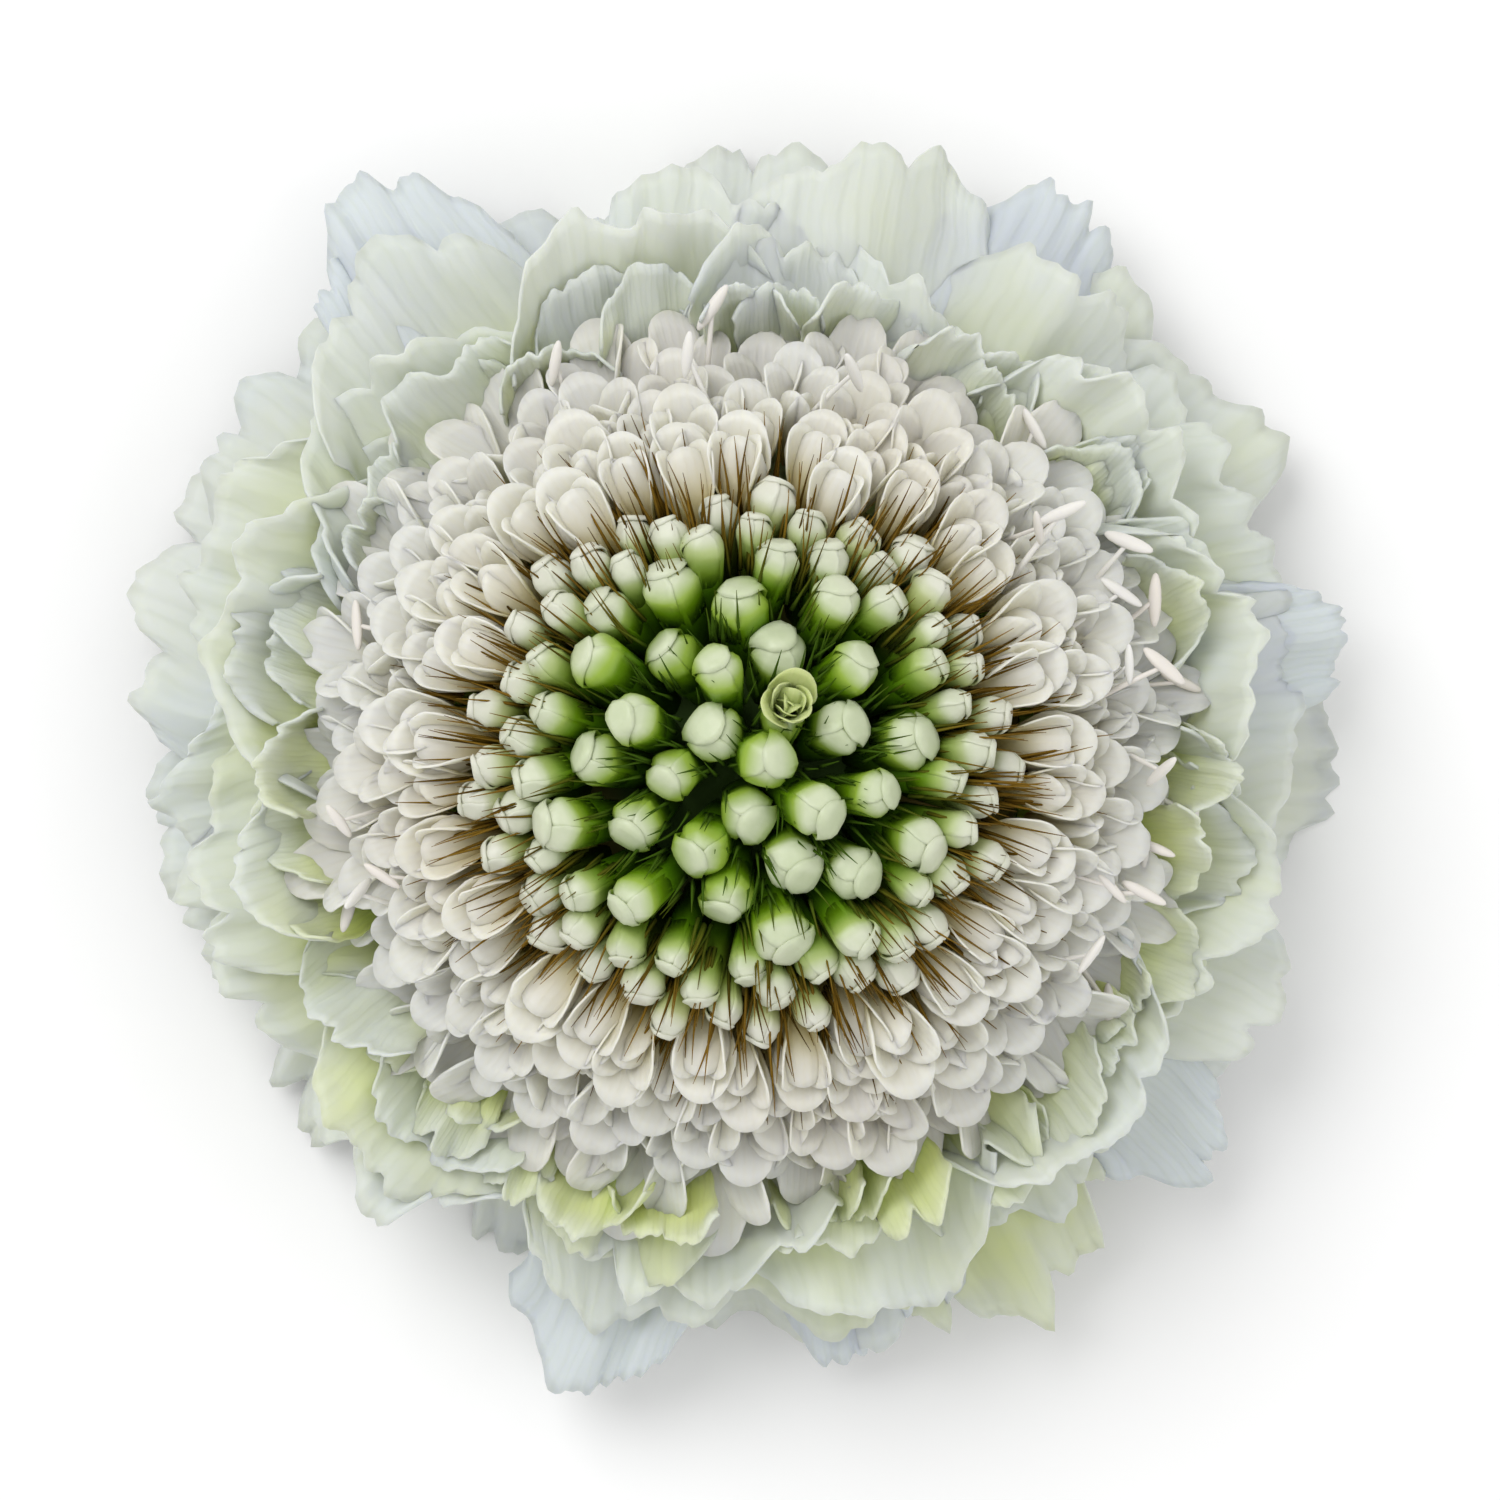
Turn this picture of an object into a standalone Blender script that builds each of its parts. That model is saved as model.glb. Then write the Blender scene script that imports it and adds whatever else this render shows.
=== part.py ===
# A scabiosa flower head, cut just under the bloom and set down face up.
# Metres, +Z up. The origin is on the surface under the middle of the head.

import math
import random

import bmesh
import bpy
from mathutils import Matrix, Vector

MM = 0.001

# Driving dimensions
HEAD_RADIUS = 32.4 * MM  # the head's axis to the tips of the widest ray petals
FOCUS_HEIGHT = 10.0 * MM  # the florets radiate from this point on the axis
DOME_RADIUS = 20.6 * MM  # the dome of florets, from the focus sideways
DOME_RISE = 16.4 * MM  # and from the focus up
STEM_RADIUS = 1.5 * MM
PETAL = 0.6 * MM  # thickness of every petal and bract
REST_POINTS = 3  # places round the head where the lowest petals touch the surface
GAP = 0.3 * MM  # clearance between neighbouring pieces

# Where the outline of the skirt bulges or draws in: direction and half width in degrees, and how far
SKIRT_OUTLINE = (
    (60, 24, 1.3 * MM),
    (93, 12, 1.2 * MM),
    (126, 9, 3.2 * MM),
    (152, 14, 0.8 * MM),
    (216, 12, -1.2 * MM),
    (240, 14, -1.8 * MM),
    (260, 7, 2.1 * MM),
    (271, 4, -1.8 * MM),
    (311, 11, -2.4 * MM),
    (342, 9, -1.4 * MM),
)

# The receptacle, the swollen end of the stem that carries everything
RECEPTACLE_RADIUS = 4.05 * MM
RECEPTACLE_TOP = 15.0 * MM
SOCKET_RADIUS = RECEPTACLE_RADIUS + GAP

# Directions of the florets, in degrees from straight up
BUD_LIMIT = 41.5  # green buds up to here, and half-open ones from here to FLORET_START
FLORET_START = 50.0
FLORET_LIMIT = 78.0
BUD_ROOT_LIMIT = 36.0  # the roots of the green buds end here, and those of the others start at the next one
FLORET_ROOT_START = 46.4
BUD_BED_EDGE = 40.2
FLORET_BED_START = 42.4
FLORET_BED_EDGE = 80.0
FLORET_COUNT = 122  # buds, half-open buds and open florets together
FLORET_DEPTH = 6.2 * MM  # from the mouth of an open floret down to its root
GOLDEN_ANGLE = math.pi * (3 - math.sqrt(5))

BED_DEPTH = 0.66  # the packed floret bases, as a share of the dome's depth
BED_SWELL = 0.09  # what the bed of the open florets rises by, half-way out
RING_FLOOR = 12.15 * MM  # underside of the packed bases of the open florets


def clear_scene():
    for thing in list(bpy.data.objects):
        bpy.data.objects.remove(thing, do_unlink=True)


def new_collection(name):
    made = bpy.data.collections.new(name)
    bpy.context.scene.collection.children.link(made)
    return made


def finish(name, colour, roughness):
    material = bpy.data.materials.new(name)
    material.use_nodes = True
    surface = material.node_tree.nodes["Principled BSDF"]
    surface.inputs["Base Color"].default_value = (*colour, 1.0)
    surface.inputs["Roughness"].default_value = roughness
    surface.inputs["Metallic"].default_value = 0.0
    return material


def dome_distance(angle):
    """How far the dome is from the focus, in a direction that many radians from straight up."""
    return 1 / math.hypot(math.sin(angle) / DOME_RADIUS, math.cos(angle) / DOME_RISE)


def floret_directions():
    """Every floret's direction, as radians from straight up and round the axis, on a golden-angle spiral."""
    share = (1 - math.cos(math.radians(FLORET_LIMIT))) / FLORET_COUNT
    for number in range(FLORET_COUNT):
        yield math.acos(1 - (number + 0.5) * share), number * GOLDEN_ANGLE


def floret_frame(tilt, turn, distance):
    """A frame on a floret's axis: Z points out along it, and X down the dome, away from its top."""
    spun = Matrix.Rotation(turn, 4, "Z") @ Matrix.Rotation(tilt, 4, "Y")
    return Matrix.Translation((0, 0, FOCUS_HEIGHT)) @ spun @ Matrix.Translation((0, 0, distance))


def turned(name, profile, steps, collection, closed_ring=False):
    """A body turned about Z from (radius, height) points that run down its outer side."""
    mesh = bpy.data.meshes.new(name)
    points = [(radius, 0, height) for radius, height in profile]
    edges = [(i, i + 1) for i in range(len(points) - 1)]
    if closed_ring:
        edges.append((len(points) - 1, 0))
    mesh.from_pydata(points, edges, [])
    body = bpy.data.objects.new(name, mesh)
    collection.objects.link(body)
    screw = body.modifiers.new("Turn", "SCREW")
    screw.axis = "Z"
    screw.steps = steps
    screw.render_steps = steps
    screw.use_merge_vertices = True
    screw.merge_threshold = 0.00001
    return body


def blade_mesh(name, along, across, place):
    """A petal's middle surface: a grid put where place(u, v) says, u from root to tip and v across.
    It is cut into triangles before it gets its thickness, so that both faces are cut alike."""
    grid = bmesh.new()
    bmesh.ops.create_grid(grid, x_segments=along, y_segments=across, size=0.5)
    for vertex in grid.verts:
        vertex.co = place(vertex.co.x + 0.5, vertex.co.y * 2)
    bmesh.ops.remove_doubles(grid, verts=grid.verts, dist=0.01 * MM)
    bmesh.ops.triangulate(grid, faces=grid.faces)
    mesh = bpy.data.meshes.new(name)
    grid.to_mesh(mesh)
    grid.free()
    return mesh


def blade(name, mesh, collection, frame=None):
    petal = bpy.data.objects.new(name, mesh)
    petal.matrix_world = frame or Matrix.Identity(4)
    collection.objects.link(petal)
    shell = petal.modifiers.new("Thickness", "SOLIDIFY")
    shell.thickness = PETAL
    shell.offset = 0
    return petal


def needle(name, start, end, radius, collection):
    """A three-sided bristle that tapers from start to end."""
    length = (end - start).length
    spike = bmesh.new()
    tip = 0.3 * radius
    bmesh.ops.create_cone(spike, cap_ends=True, segments=3, radius1=radius, radius2=tip, depth=length)
    mesh = bpy.data.meshes.new(name)
    spike.to_mesh(mesh)
    spike.free()
    bristle = bpy.data.objects.new(name, mesh)
    turn = (end - start).to_track_quat("Z", "Y").to_matrix().to_4x4()
    bristle.matrix_world = Matrix.Translation((start + end) / 2) @ turn
    collection.objects.link(bristle)
    return bristle


def fuse(core, repeats):
    """Joins all that the collection holds to the core in one union, and removes the collection."""
    union = core.modifiers.new("Union", "BOOLEAN")
    union.operation = "UNION"
    union.operand_type = "COLLECTION"
    union.collection = repeats
    union.solver = "MANIFOLD"
    apply_modifiers(core)
    keep_outer_skin(core)
    for piece in list(repeats.objects):
        bpy.data.objects.remove(piece, do_unlink=True)
    bpy.data.collections.remove(repeats)


def island_from(start, found):
    """All the faces that hang together with this one."""
    found.add(start)
    waiting, island = [start], []
    while waiting:
        face = waiting.pop()
        island.append(face)
        for edge in face.edges:
            for near in edge.link_faces:
                if near not in found:
                    found.add(near)
                    waiting.append(near)
    return island


def keep_outer_skin(body):
    """Fills the hollows that a union sealed, and drops scraps, by keeping only the largest skin."""
    skin = bmesh.new()
    skin.from_mesh(body.data)
    found = set()
    islands = [island_from(face, found) for face in skin.faces if face not in found]
    islands.sort(key=len, reverse=True)
    spare = [face for island in islands[1:] for face in island]
    print(body.name, "keeps its outer skin and loses", len(spare), "faces of sealed hollows")
    bmesh.ops.delete(skin, geom=spare, context="FACES")
    skin.to_mesh(body.data)
    skin.free()


def apply_modifiers(body):
    bpy.context.view_layer.update()
    graph = bpy.context.evaluated_depsgraph_get()
    made = bpy.data.meshes.new_from_object(body.evaluated_get(graph))
    body.modifiers.clear()
    body.data = made


def cone_radius(height, angle):
    """Radius, at that height, of the cone that leans that many degrees from straight up, from the focus."""
    return (height - FOCUS_HEIGHT) * math.tan(math.radians(angle))


def bed_arc(first, last, steps, swell=0.0):
    """Profile points over the packed floret bases, from one direction to another, in degrees."""
    for step in range(steps + 1):
        share = step / steps
        angle = math.radians(first + (last - first) * share)
        distance = (BED_DEPTH + swell * math.sin(math.pi * share)) * dome_distance(angle)
        yield distance * math.sin(angle), FOCUS_HEIGHT + distance * math.cos(angle)


def bud_frame(tilt, turn, distance, length, root_tilt):
    """A frame at a bud's tip, with Z along the bud, from its root in another direction of the same turn."""
    tip = floret_frame(tilt, turn, distance).translation
    root = floret_frame(root_tilt, turn, distance - length).translation
    facing = (tip - root).to_track_quat("Z", "Y").to_matrix().to_4x4()
    return Matrix.Translation(tip) @ facing


def stem_with_receptacle(collection, material):
    """The cut stem end and the receptacle that it widens into, one turned piece."""
    profile = [
        (0, RECEPTACLE_TOP),
        (2.4 * MM, 14.5 * MM),
        (3.6 * MM, 13.4 * MM),
        (RECEPTACLE_RADIUS, 12.0 * MM),
        (RECEPTACLE_RADIUS, 6.6 * MM),
        (2.6 * MM, 5.6 * MM),
        (1.08 * STEM_RADIUS, 4.6 * MM),
        (STEM_RADIUS, 3.0 * MM),
        (STEM_RADIUS, 0),
        (0, 0),
    ]
    stem = turned("stem", profile, 14, collection)
    apply_modifiers(stem)
    stem.data.materials.append(material)


def involucre(collection, material):
    """The green bracts under the head: two rows of narrow leaves on one collar."""
    rows = [  # count, reach, height of the tip, first turn
        (6, 16.5 * MM, 2.3 * MM, 0.0),
        (6, 13.5 * MM, 1.2 * MM, 0.5),
    ]
    root_radius = 4.9 * MM
    half_width = 1.75 * MM
    draws = random.Random(31)
    repeats = new_collection("bract_blades")
    for row, (count, reach, tip_height, first) in enumerate(rows):
        root_height = (7.9 - 0.6 * row) * MM
        for number in range(count):
            turn = first + math.tau * number / count + draws.uniform(-0.06, 0.06)
            length = (reach - root_radius) * draws.uniform(0.9, 1.0)
            droop = draws.uniform(0.85, 1.1)

            def place(u, v, length=length, root_height=root_height, droop=droop, tip_height=tip_height):
                width = half_width * (0.55 + 1.5 * u * (1 - u)) * (1 - u**3)
                height = root_height + (tip_height - root_height) * u * u * droop
                return Vector((root_radius - 0.5 * MM + length * u, width * v, height + 0.35 * MM * v * v))

            mesh = blade_mesh("bract", 3, 2, place)
            blade("bract", mesh, repeats, Matrix.Rotation(turn, 4, "Z"))
    collar = [
        (6.1 * MM, 8.1 * MM),
        (6.1 * MM, 7.1 * MM),
        (5.3 * MM, 6.8 * MM),
        (SOCKET_RADIUS, 6.8 * MM),
        (SOCKET_RADIUS, 8.3 * MM),
        (5.6 * MM, 8.3 * MM),
    ]
    bracts = turned("involucre_bracts", collar, 20, collection, closed_ring=True)
    fuse(bracts, repeats)
    bracts.data.materials.append(material)


def skirt_reach(angle):
    """How much further out the skirt reaches at an angle round the head, in radians."""
    extra = 0
    for centre, width, amount in SKIRT_OUTLINE:
        apart = (math.degrees(angle) - centre + 180) % 360 - 180
        extra += amount * math.exp(-((apart / width) ** 2))
    return extra


def ray_petal(turn, root, length, half_width, heights, frill, outer):
    """The surface of one ruffled ray petal. heights are those of its root, its middle and its tip.
    frill gives a row's waves at an angle round the head, so that neighbours wave together.
    The petals of the outer rows follow the outline of the skirt."""
    low, middle, high = heights
    overlap = 0.75 * MM

    def place(u, v):
        spread = 0.22 + 0.78 * math.sin(0.5 * math.pi * min(1.0, u / 0.85)) ** 1.3
        reach = root + length * u * (1 - 0.13 * v * v * u)
        angle = turn + half_width * spread * v / max(reach, root)
        wave = frill(angle) * u**2.6
        reach += 0.5 * frill(angle + 0.4) * u**2.6
        if outer:
            reach += skirt_reach(angle) * u**2
        height = (1 - u) ** 2 * low + 2 * u * (1 - u) * middle + u * u * high
        height += wave + overlap * v * min(1.0, 1.6 * u)
        return Vector((reach * math.cos(angle), reach * math.sin(angle), max(height, 0.16 * MM)))

    return place


def frill_of(size, dip, draws):
    """Waves of several lengths added up, as a function of the angle round the head.
    The dip is the depth of three more waves, evenly spaced, that bring a row down to the surface."""
    orders = ((0.45, 4), (0.4, 7), (0.6, 12), (0.4, 17))
    waves = [(share * size, order, draws.uniform(0, math.tau)) for share, order in orders]
    waves.append((dip, REST_POINTS, -0.5 * math.pi))
    return lambda angle: sum(height * math.sin(order * angle + phase) for height, order, phase in waves)


def ray_florets(collection, material):
    """The ruffled skirt: three rows of broad waved petals on one ring round the receptacle."""
    rows = [  # count, reach, heights of root, middle and tip, ruffle size, dip, first turn
        (10, 28.4 * MM, (10.7 * MM, 10.3 * MM, 12.2 * MM), 1.4 * MM, 0, 0.10),
        (12, 31.8 * MM, (10.0 * MM, 9.6 * MM, 7.6 * MM), 2.1 * MM, 0, 0.33),
        (12, 31.8 * MM, (9.3 * MM, 8.9 * MM, 2.3 * MM), 1.3 * MM, 2.6 * MM, 0.05),
    ]
    root = 6.4 * MM
    draws = random.Random(22)
    repeats = new_collection("ray_blades")
    for count, row_reach, (low, middle, high), frill_size, dip, first in rows:
        frill = frill_of(frill_size, dip, draws)
        for number in range(count):
            turn = math.tau * (number + first) / count + draws.uniform(-0.06, 0.06)
            reach = min(row_reach * draws.uniform(0.95, 1.03), HEAD_RADIUS)
            half_width = 1.2 * math.pi * row_reach / count * draws.uniform(0.94, 1.06)
            tip = high + draws.uniform(-0.4, 0.4) * MM
            outer = row_reach > 30 * MM
            place = ray_petal(turn, root, reach - root, half_width, (low, middle, tip), frill, outer)
            mesh = blade_mesh("ray_petal", 3, 6, place)
            blade("ray_petal", mesh, repeats)
    ring = [
        (8.6 * MM, 11.4 * MM),
        (9.6 * MM, 10.2 * MM),
        (8.2 * MM, 8.9 * MM),
        (6.6 * MM, 8.6 * MM),
        (SOCKET_RADIUS, 8.6 * MM),
        (SOCKET_RADIUS, 11.8 * MM),
        (7.4 * MM, 11.8 * MM),
    ]
    rays = turned("ray_florets", ring, 20, collection, closed_ring=True)
    fuse(rays, repeats)
    rays.data.materials.append(material)
    return rays


def rest_on_surface(body, cutters):
    """Takes away what would reach below the surface, so that the lowest petals end in small flats on it."""
    bpy.ops.mesh.primitive_cube_add(size=1, location=(0, 0, -2.5 * MM))
    floor_cut = bpy.context.object
    floor_cut.name = "floor_cut"
    floor_cut.scale = (3 * HEAD_RADIUS, 3 * HEAD_RADIUS, 5 * MM)
    floor_cut.hide_render = True
    floor_cut.display_type = "WIRE"
    for owner in list(floor_cut.users_collection):
        owner.objects.unlink(floor_cut)
    cutters.objects.link(floor_cut)
    trim = body.modifiers.new("Trim", "BOOLEAN")
    trim.operation = "DIFFERENCE"
    trim.object = floor_cut
    trim.solver = "MANIFOLD"
    apply_modifiers(body)
    bpy.data.objects.remove(floor_cut, do_unlink=True)


def floret_blade(length, half_width, flare, cup):
    """The surface of an open floret's outer lobe, from its root: up the floret's axis, then out along X."""
    neck = 0.8 * FLORET_DEPTH

    def place(u, v):
        if u < 0.25:
            return Vector((0, 0, 0))
        if u < 0.75:
            return Vector((0.7 * MM, 0.62 * half_width * v, neck - 0.3 * cup * v * v))
        reach = length * (1 - 0.3 * v * v)
        height = neck + 0.9 * MM + reach * math.sin(flare)
        return Vector((reach * math.cos(flare), half_width * v, height - cup * v * v))

    return place


def disc_florets(collection, material):
    """The open florets: rounded petals like shingles over the sides of the dome. Half-open buds stand
    inside them, next to the green middle, and bristles stand between them."""
    draws = random.Random(19)
    repeats = new_collection("floret_blades")
    # Length, half width, flare in degrees and cup, from the inside of the ring outwards
    shapes = ((3.9, 1.9, 60, 0.5), (4.3, 2.1, 44, 0.6), (4.6, 2.3, 32, 0.6), (4.9, 2.5, 26, 0.5))
    blades = []
    for length, half_width, flare, cup in shapes:
        place = floret_blade(length * MM, half_width * MM, math.radians(flare), cup * MM)
        blades.append(blade_mesh("floret", 2, 4, place))
    half_open_length = 6.8 * MM
    half_open = bud_mesh("half_open_bud", 5, 2.8 * MM, half_open_length)
    bristle_limit = math.radians(60)
    for tilt, turn in floret_directions():
        if tilt < math.radians(BUD_LIMIT):
            continue
        distance = dome_distance(tilt)
        if tilt < math.radians(FLORET_START):
            knob = bpy.data.objects.new("half_open_bud", half_open)
            root_tilt = max(tilt, math.radians(FLORET_ROOT_START))
            knob.matrix_world = bud_frame(tilt, turn, distance - 0.2 * MM, half_open_length, root_tilt)
            repeats.objects.link(knob)
        else:
            outward = (tilt - math.radians(FLORET_START)) / math.radians(FLORET_LIMIT - FLORET_START)
            # The outer florets lean up from their roots and open out over the skirt, not down into it
            lean = Matrix.Rotation(-0.33 * outward + draws.uniform(-0.04, 0.04), 4, "Y")
            twist = Matrix.Rotation(draws.uniform(-0.2, 0.2), 4, "Z")
            root = floret_frame(tilt, turn, distance - 0.8 * MM - FLORET_DEPTH)
            kind = min(len(blades) - 1, int(len(blades) * outward + draws.uniform(0, 0.5)))
            blade("floret", blades[kind], repeats, root @ twist @ lean)
        if math.radians(FLORET_ROOT_START) < tilt < bristle_limit:
            for side in (-1, 1):
                base = floret_frame(tilt + 0.05, turn + side * 0.07 / math.sin(tilt), BED_DEPTH * distance)
                tip = floret_frame(tilt + 0.12, turn + side * 0.14 / math.sin(tilt), distance + 1.2 * MM)
                needle("bristle", base.translation, tip.translation, 0.26 * MM, repeats)
    bed = list(bed_arc(FLORET_BED_START, FLORET_BED_EDGE, 5, BED_SWELL))
    bed += [
        (cone_radius(RING_FLOOR, FLORET_BED_EDGE), RING_FLOOR),
        (SOCKET_RADIUS, RING_FLOOR),
        (SOCKET_RADIUS, 14.4 * MM),
    ]
    florets = turned("disc_florets", bed, 28, collection, closed_ring=True)
    fuse(florets, repeats)
    florets.data.materials.append(material)


def bud_mesh(name, sides, width, length):
    """A closed bud, origin at its tip: a slim tube that swells into a rounded knob."""
    rings = [(-1.0, 0.42), (-0.42, 0.66), (-0.22, 1.0), (-0.07, 0.86), (0.0, 0.4)]
    knob = bmesh.new()
    bmesh.ops.create_cone(knob, cap_ends=True, segments=sides, radius1=1, radius2=1, depth=1)
    uprights = [edge for edge in knob.edges if abs(edge.verts[0].co.z - edge.verts[1].co.z) > 0.5]
    bmesh.ops.subdivide_edges(knob, edges=uprights, cuts=len(rings) - 2)
    for vertex in knob.verts:
        height, share = rings[round((vertex.co.z + 0.5) * (len(rings) - 1))]
        flat = Vector((vertex.co.x, vertex.co.y)).normalized() * 0.5 * width * share
        vertex.co = (flat.x, flat.y, height * length)
    mesh = bpy.data.meshes.new(name)
    knob.to_mesh(mesh)
    knob.free()
    return mesh


def centre_buds(collection, material):
    """The closed green buds in the middle, standing apart over a deep core, with bristles between them."""
    draws = random.Random(5)
    repeats = new_collection("bud_knobs")
    sizes = ((6, 3.0 * MM, 7.4 * MM), (5, 2.7 * MM, 6.8 * MM))  # sides, width, length
    shapes = [(bud_mesh("bud", sides, width, length), length) for sides, width, length in sizes]
    bristle_limit = math.radians(BUD_ROOT_LIMIT - 3)
    for number, (tilt, turn) in enumerate(floret_directions()):
        if tilt > math.radians(BUD_LIMIT):
            break
        distance = dome_distance(tilt) * draws.uniform(0.955, 1.0)
        spin = Matrix.Rotation(draws.uniform(0, math.tau), 4, "Z")
        mesh, length = draws.choice(shapes)
        knob = bpy.data.objects.new("bud", mesh)
        root_tilt = min(tilt, math.radians(BUD_ROOT_LIMIT))
        knob.matrix_world = bud_frame(tilt, turn, distance, length, root_tilt) @ spin
        repeats.objects.link(knob)
        if tilt < bristle_limit and number % 2:
            base = floret_frame(tilt + 0.03, turn + 0.07 / math.sin(tilt), 0.5 * distance)
            tip = floret_frame(tilt + 0.03, turn + 0.13 / math.sin(tilt), 0.97 * distance)
            needle("bristle", base.translation, tip.translation, 0.24 * MM, repeats)
    bed = [(0, FOCUS_HEIGHT + BED_DEPTH * DOME_RISE)]
    bed += list(bed_arc(12, BUD_BED_EDGE, 3))
    floor = RECEPTACLE_TOP + GAP
    bed += [(cone_radius(floor, BUD_BED_EDGE), floor), (0, floor)]
    cluster = turned("centre_buds", bed, 24, collection)
    fuse(cluster, repeats)
    cluster.data.materials.append(material)


def build():
    clear_scene()
    flower = new_collection("scabiosa_flower")
    cutters = new_collection("cutters")
    stem_with_receptacle(flower, finish("stem_green", (0.25, 0.36, 0.12), 0.6))
    involucre(flower, finish("bract_green", (0.20, 0.33, 0.10), 0.6))
    rays = ray_florets(flower, finish("ray_white", (0.72, 0.77, 0.66), 0.55))
    rest_on_surface(rays, cutters)
    disc_florets(flower, finish("floret_cream", (0.80, 0.79, 0.72), 0.5))
    centre_buds(flower, finish("bud_green", (0.42, 0.58, 0.20), 0.4))
    bpy.data.collections.remove(cutters)


build()
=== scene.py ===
import math
import random

import bpy
from mathutils import Matrix, Vector, noise


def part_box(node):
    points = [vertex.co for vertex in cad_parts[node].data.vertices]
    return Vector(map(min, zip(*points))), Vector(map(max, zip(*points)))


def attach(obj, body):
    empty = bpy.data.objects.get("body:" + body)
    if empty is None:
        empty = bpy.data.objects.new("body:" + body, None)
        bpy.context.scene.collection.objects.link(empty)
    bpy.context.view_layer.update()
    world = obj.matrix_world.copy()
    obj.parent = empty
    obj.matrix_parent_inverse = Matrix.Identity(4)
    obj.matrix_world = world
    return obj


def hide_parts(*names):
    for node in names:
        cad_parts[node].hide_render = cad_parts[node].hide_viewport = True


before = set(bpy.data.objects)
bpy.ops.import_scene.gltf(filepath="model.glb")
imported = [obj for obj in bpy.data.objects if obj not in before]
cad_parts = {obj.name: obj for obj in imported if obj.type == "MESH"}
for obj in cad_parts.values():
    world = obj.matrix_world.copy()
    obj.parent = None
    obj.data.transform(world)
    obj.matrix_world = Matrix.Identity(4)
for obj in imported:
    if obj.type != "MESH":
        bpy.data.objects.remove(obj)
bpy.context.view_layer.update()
print("loaded the flower head:", ", ".join(sorted(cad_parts)))

mm = 0.001
goldenAngle = math.pi * (3 - math.sqrt(5))

# The shape of the head. The florets point away from the focus, and end on a dome
head = {
    "focusHeight": 10.0 * mm,
    "domeRadius": 20.6 * mm,
    "domeTop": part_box("centre_buds")[1].z,
    "bedDepth": 0.66,
}
# Bands of florets, from the middle outwards: last direction in degrees from straight up, and how many
bands = {
    "bud": (37.0, 28),
    "halfOpen": (51.0, 66),
    "floret": (80.0, 142),
}


def colour(red, green, blue):  # a picture colour, 0 to 255, in the values that shaders use
    levels = []
    for level in (red, green, blue):
        share = level / 255
        levels.append(share / 12.92 if share <= 0.04045 else ((share + 0.055) / 1.055) ** 2.4)
    return (*levels, 1.0)


def smooth(value, low, high):
    share = min(1.0, max(0.0, (value - low) / (high - low)))
    return share * share * (3 - 2 * share)


def domeDistance(tilt):
    rise = head["domeTop"] - head["focusHeight"]
    return 1 / math.hypot(math.sin(tilt) / head["domeRadius"], math.cos(tilt) / rise)


def headFrame(tilt, turn, distance):  # Z points out along the floret, X down the dome
    spun = Matrix.Rotation(turn, 4, "Z") @ Matrix.Rotation(tilt, 4, "Y")
    return Matrix.Translation((0, 0, head["focusHeight"])) @ spun @ Matrix.Translation((0, 0, distance))


def headSpots():  # the band, direction and turn of every floret, on one spiral
    number = 0
    firstCosine = 1.0
    for band, (lastTilt, count) in bands.items():
        lastCosine = math.cos(math.radians(lastTilt))
        for step in range(count):
            cosine = firstCosine + (lastCosine - firstCosine) * (step + 0.5) / count
            yield band, math.acos(cosine), number * goldenAngle
            number += 1
        firstCosine = lastCosine


# Modelling helpers


def selectOnly(*pieces):  # the first one becomes the active one
    bpy.ops.object.select_all(action="DESELECT")
    for piece in pieces:
        piece.select_set(True)
    bpy.context.view_layer.objects.active = pieces[0]


def newShape(add, **settings):  # a primitive, with nothing else selected
    bpy.ops.object.select_all(action="DESELECT")
    add(**settings)
    return bpy.context.object


def newSheet(name, across, along):
    sheet = newShape(bpy.ops.mesh.primitive_grid_add, x_subdivisions=across, y_subdivisions=along, size=2)
    sheet.name = name
    return sheet


def shapeSheet(sheet, place):  # place(along, across): along is 0 to 1, across is -1 to 1
    for vertex in sheet.data.vertices:
        vertex.co = place(0.5 * (vertex.co.y + 1), vertex.co.x)


def giveThickness(sheet, thickness):
    selectOnly(sheet)
    bpy.ops.object.modifier_add(type="SOLIDIFY")
    wall = sheet.modifiers[-1]
    wall.thickness = thickness
    wall.offset = 0
    bpy.ops.object.modifier_apply(modifier=wall.name)


def setField(piece, name, values):  # one number a vertex, for the materials to read
    field = piece.data.attributes.new(name, "FLOAT", "POINT")
    field.data.foreach_set("value", values)


def setTone(piece, tone):  # a number from 0 to 1 that the materials vary a copy's colour by
    setField(piece, "tone", [tone] * len(piece.data.vertices))


def stampCopy(source, place, tone):
    copy = source.copy()
    copy.data = source.data.copy()
    copy.data.transform(place)
    setTone(copy, tone)
    bpy.context.scene.collection.objects.link(copy)
    return copy


def joinPieces(name, pieces):
    selectOnly(*pieces)
    if len(pieces) > 1:
        bpy.ops.object.join()
    joined = bpy.context.object
    joined.name = name
    joined.data.name = name
    bpy.ops.object.shade_smooth()
    return joined


def removePieces(pieces):
    for piece in pieces:
        bpy.data.objects.remove(piece, do_unlink=True)


def finishPiece(piece, material, slot, *nodes):
    piece.data.materials.clear()
    piece.data.materials.append(material)
    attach(piece, "root")
    if nodes:
        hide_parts(*nodes)
    print(piece.name, "has", sum(len(face.vertices) - 2 for face in piece.data.polygons), "triangles")


def bezier(points, share):  # a point on a curve of three control points
    rest = 1 - share
    first, second, third = rest * rest, 2 * rest * share, share * share
    return [first * a + second * b + third * c for a, b, c in zip(*points)]


# Shader node groups


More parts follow.
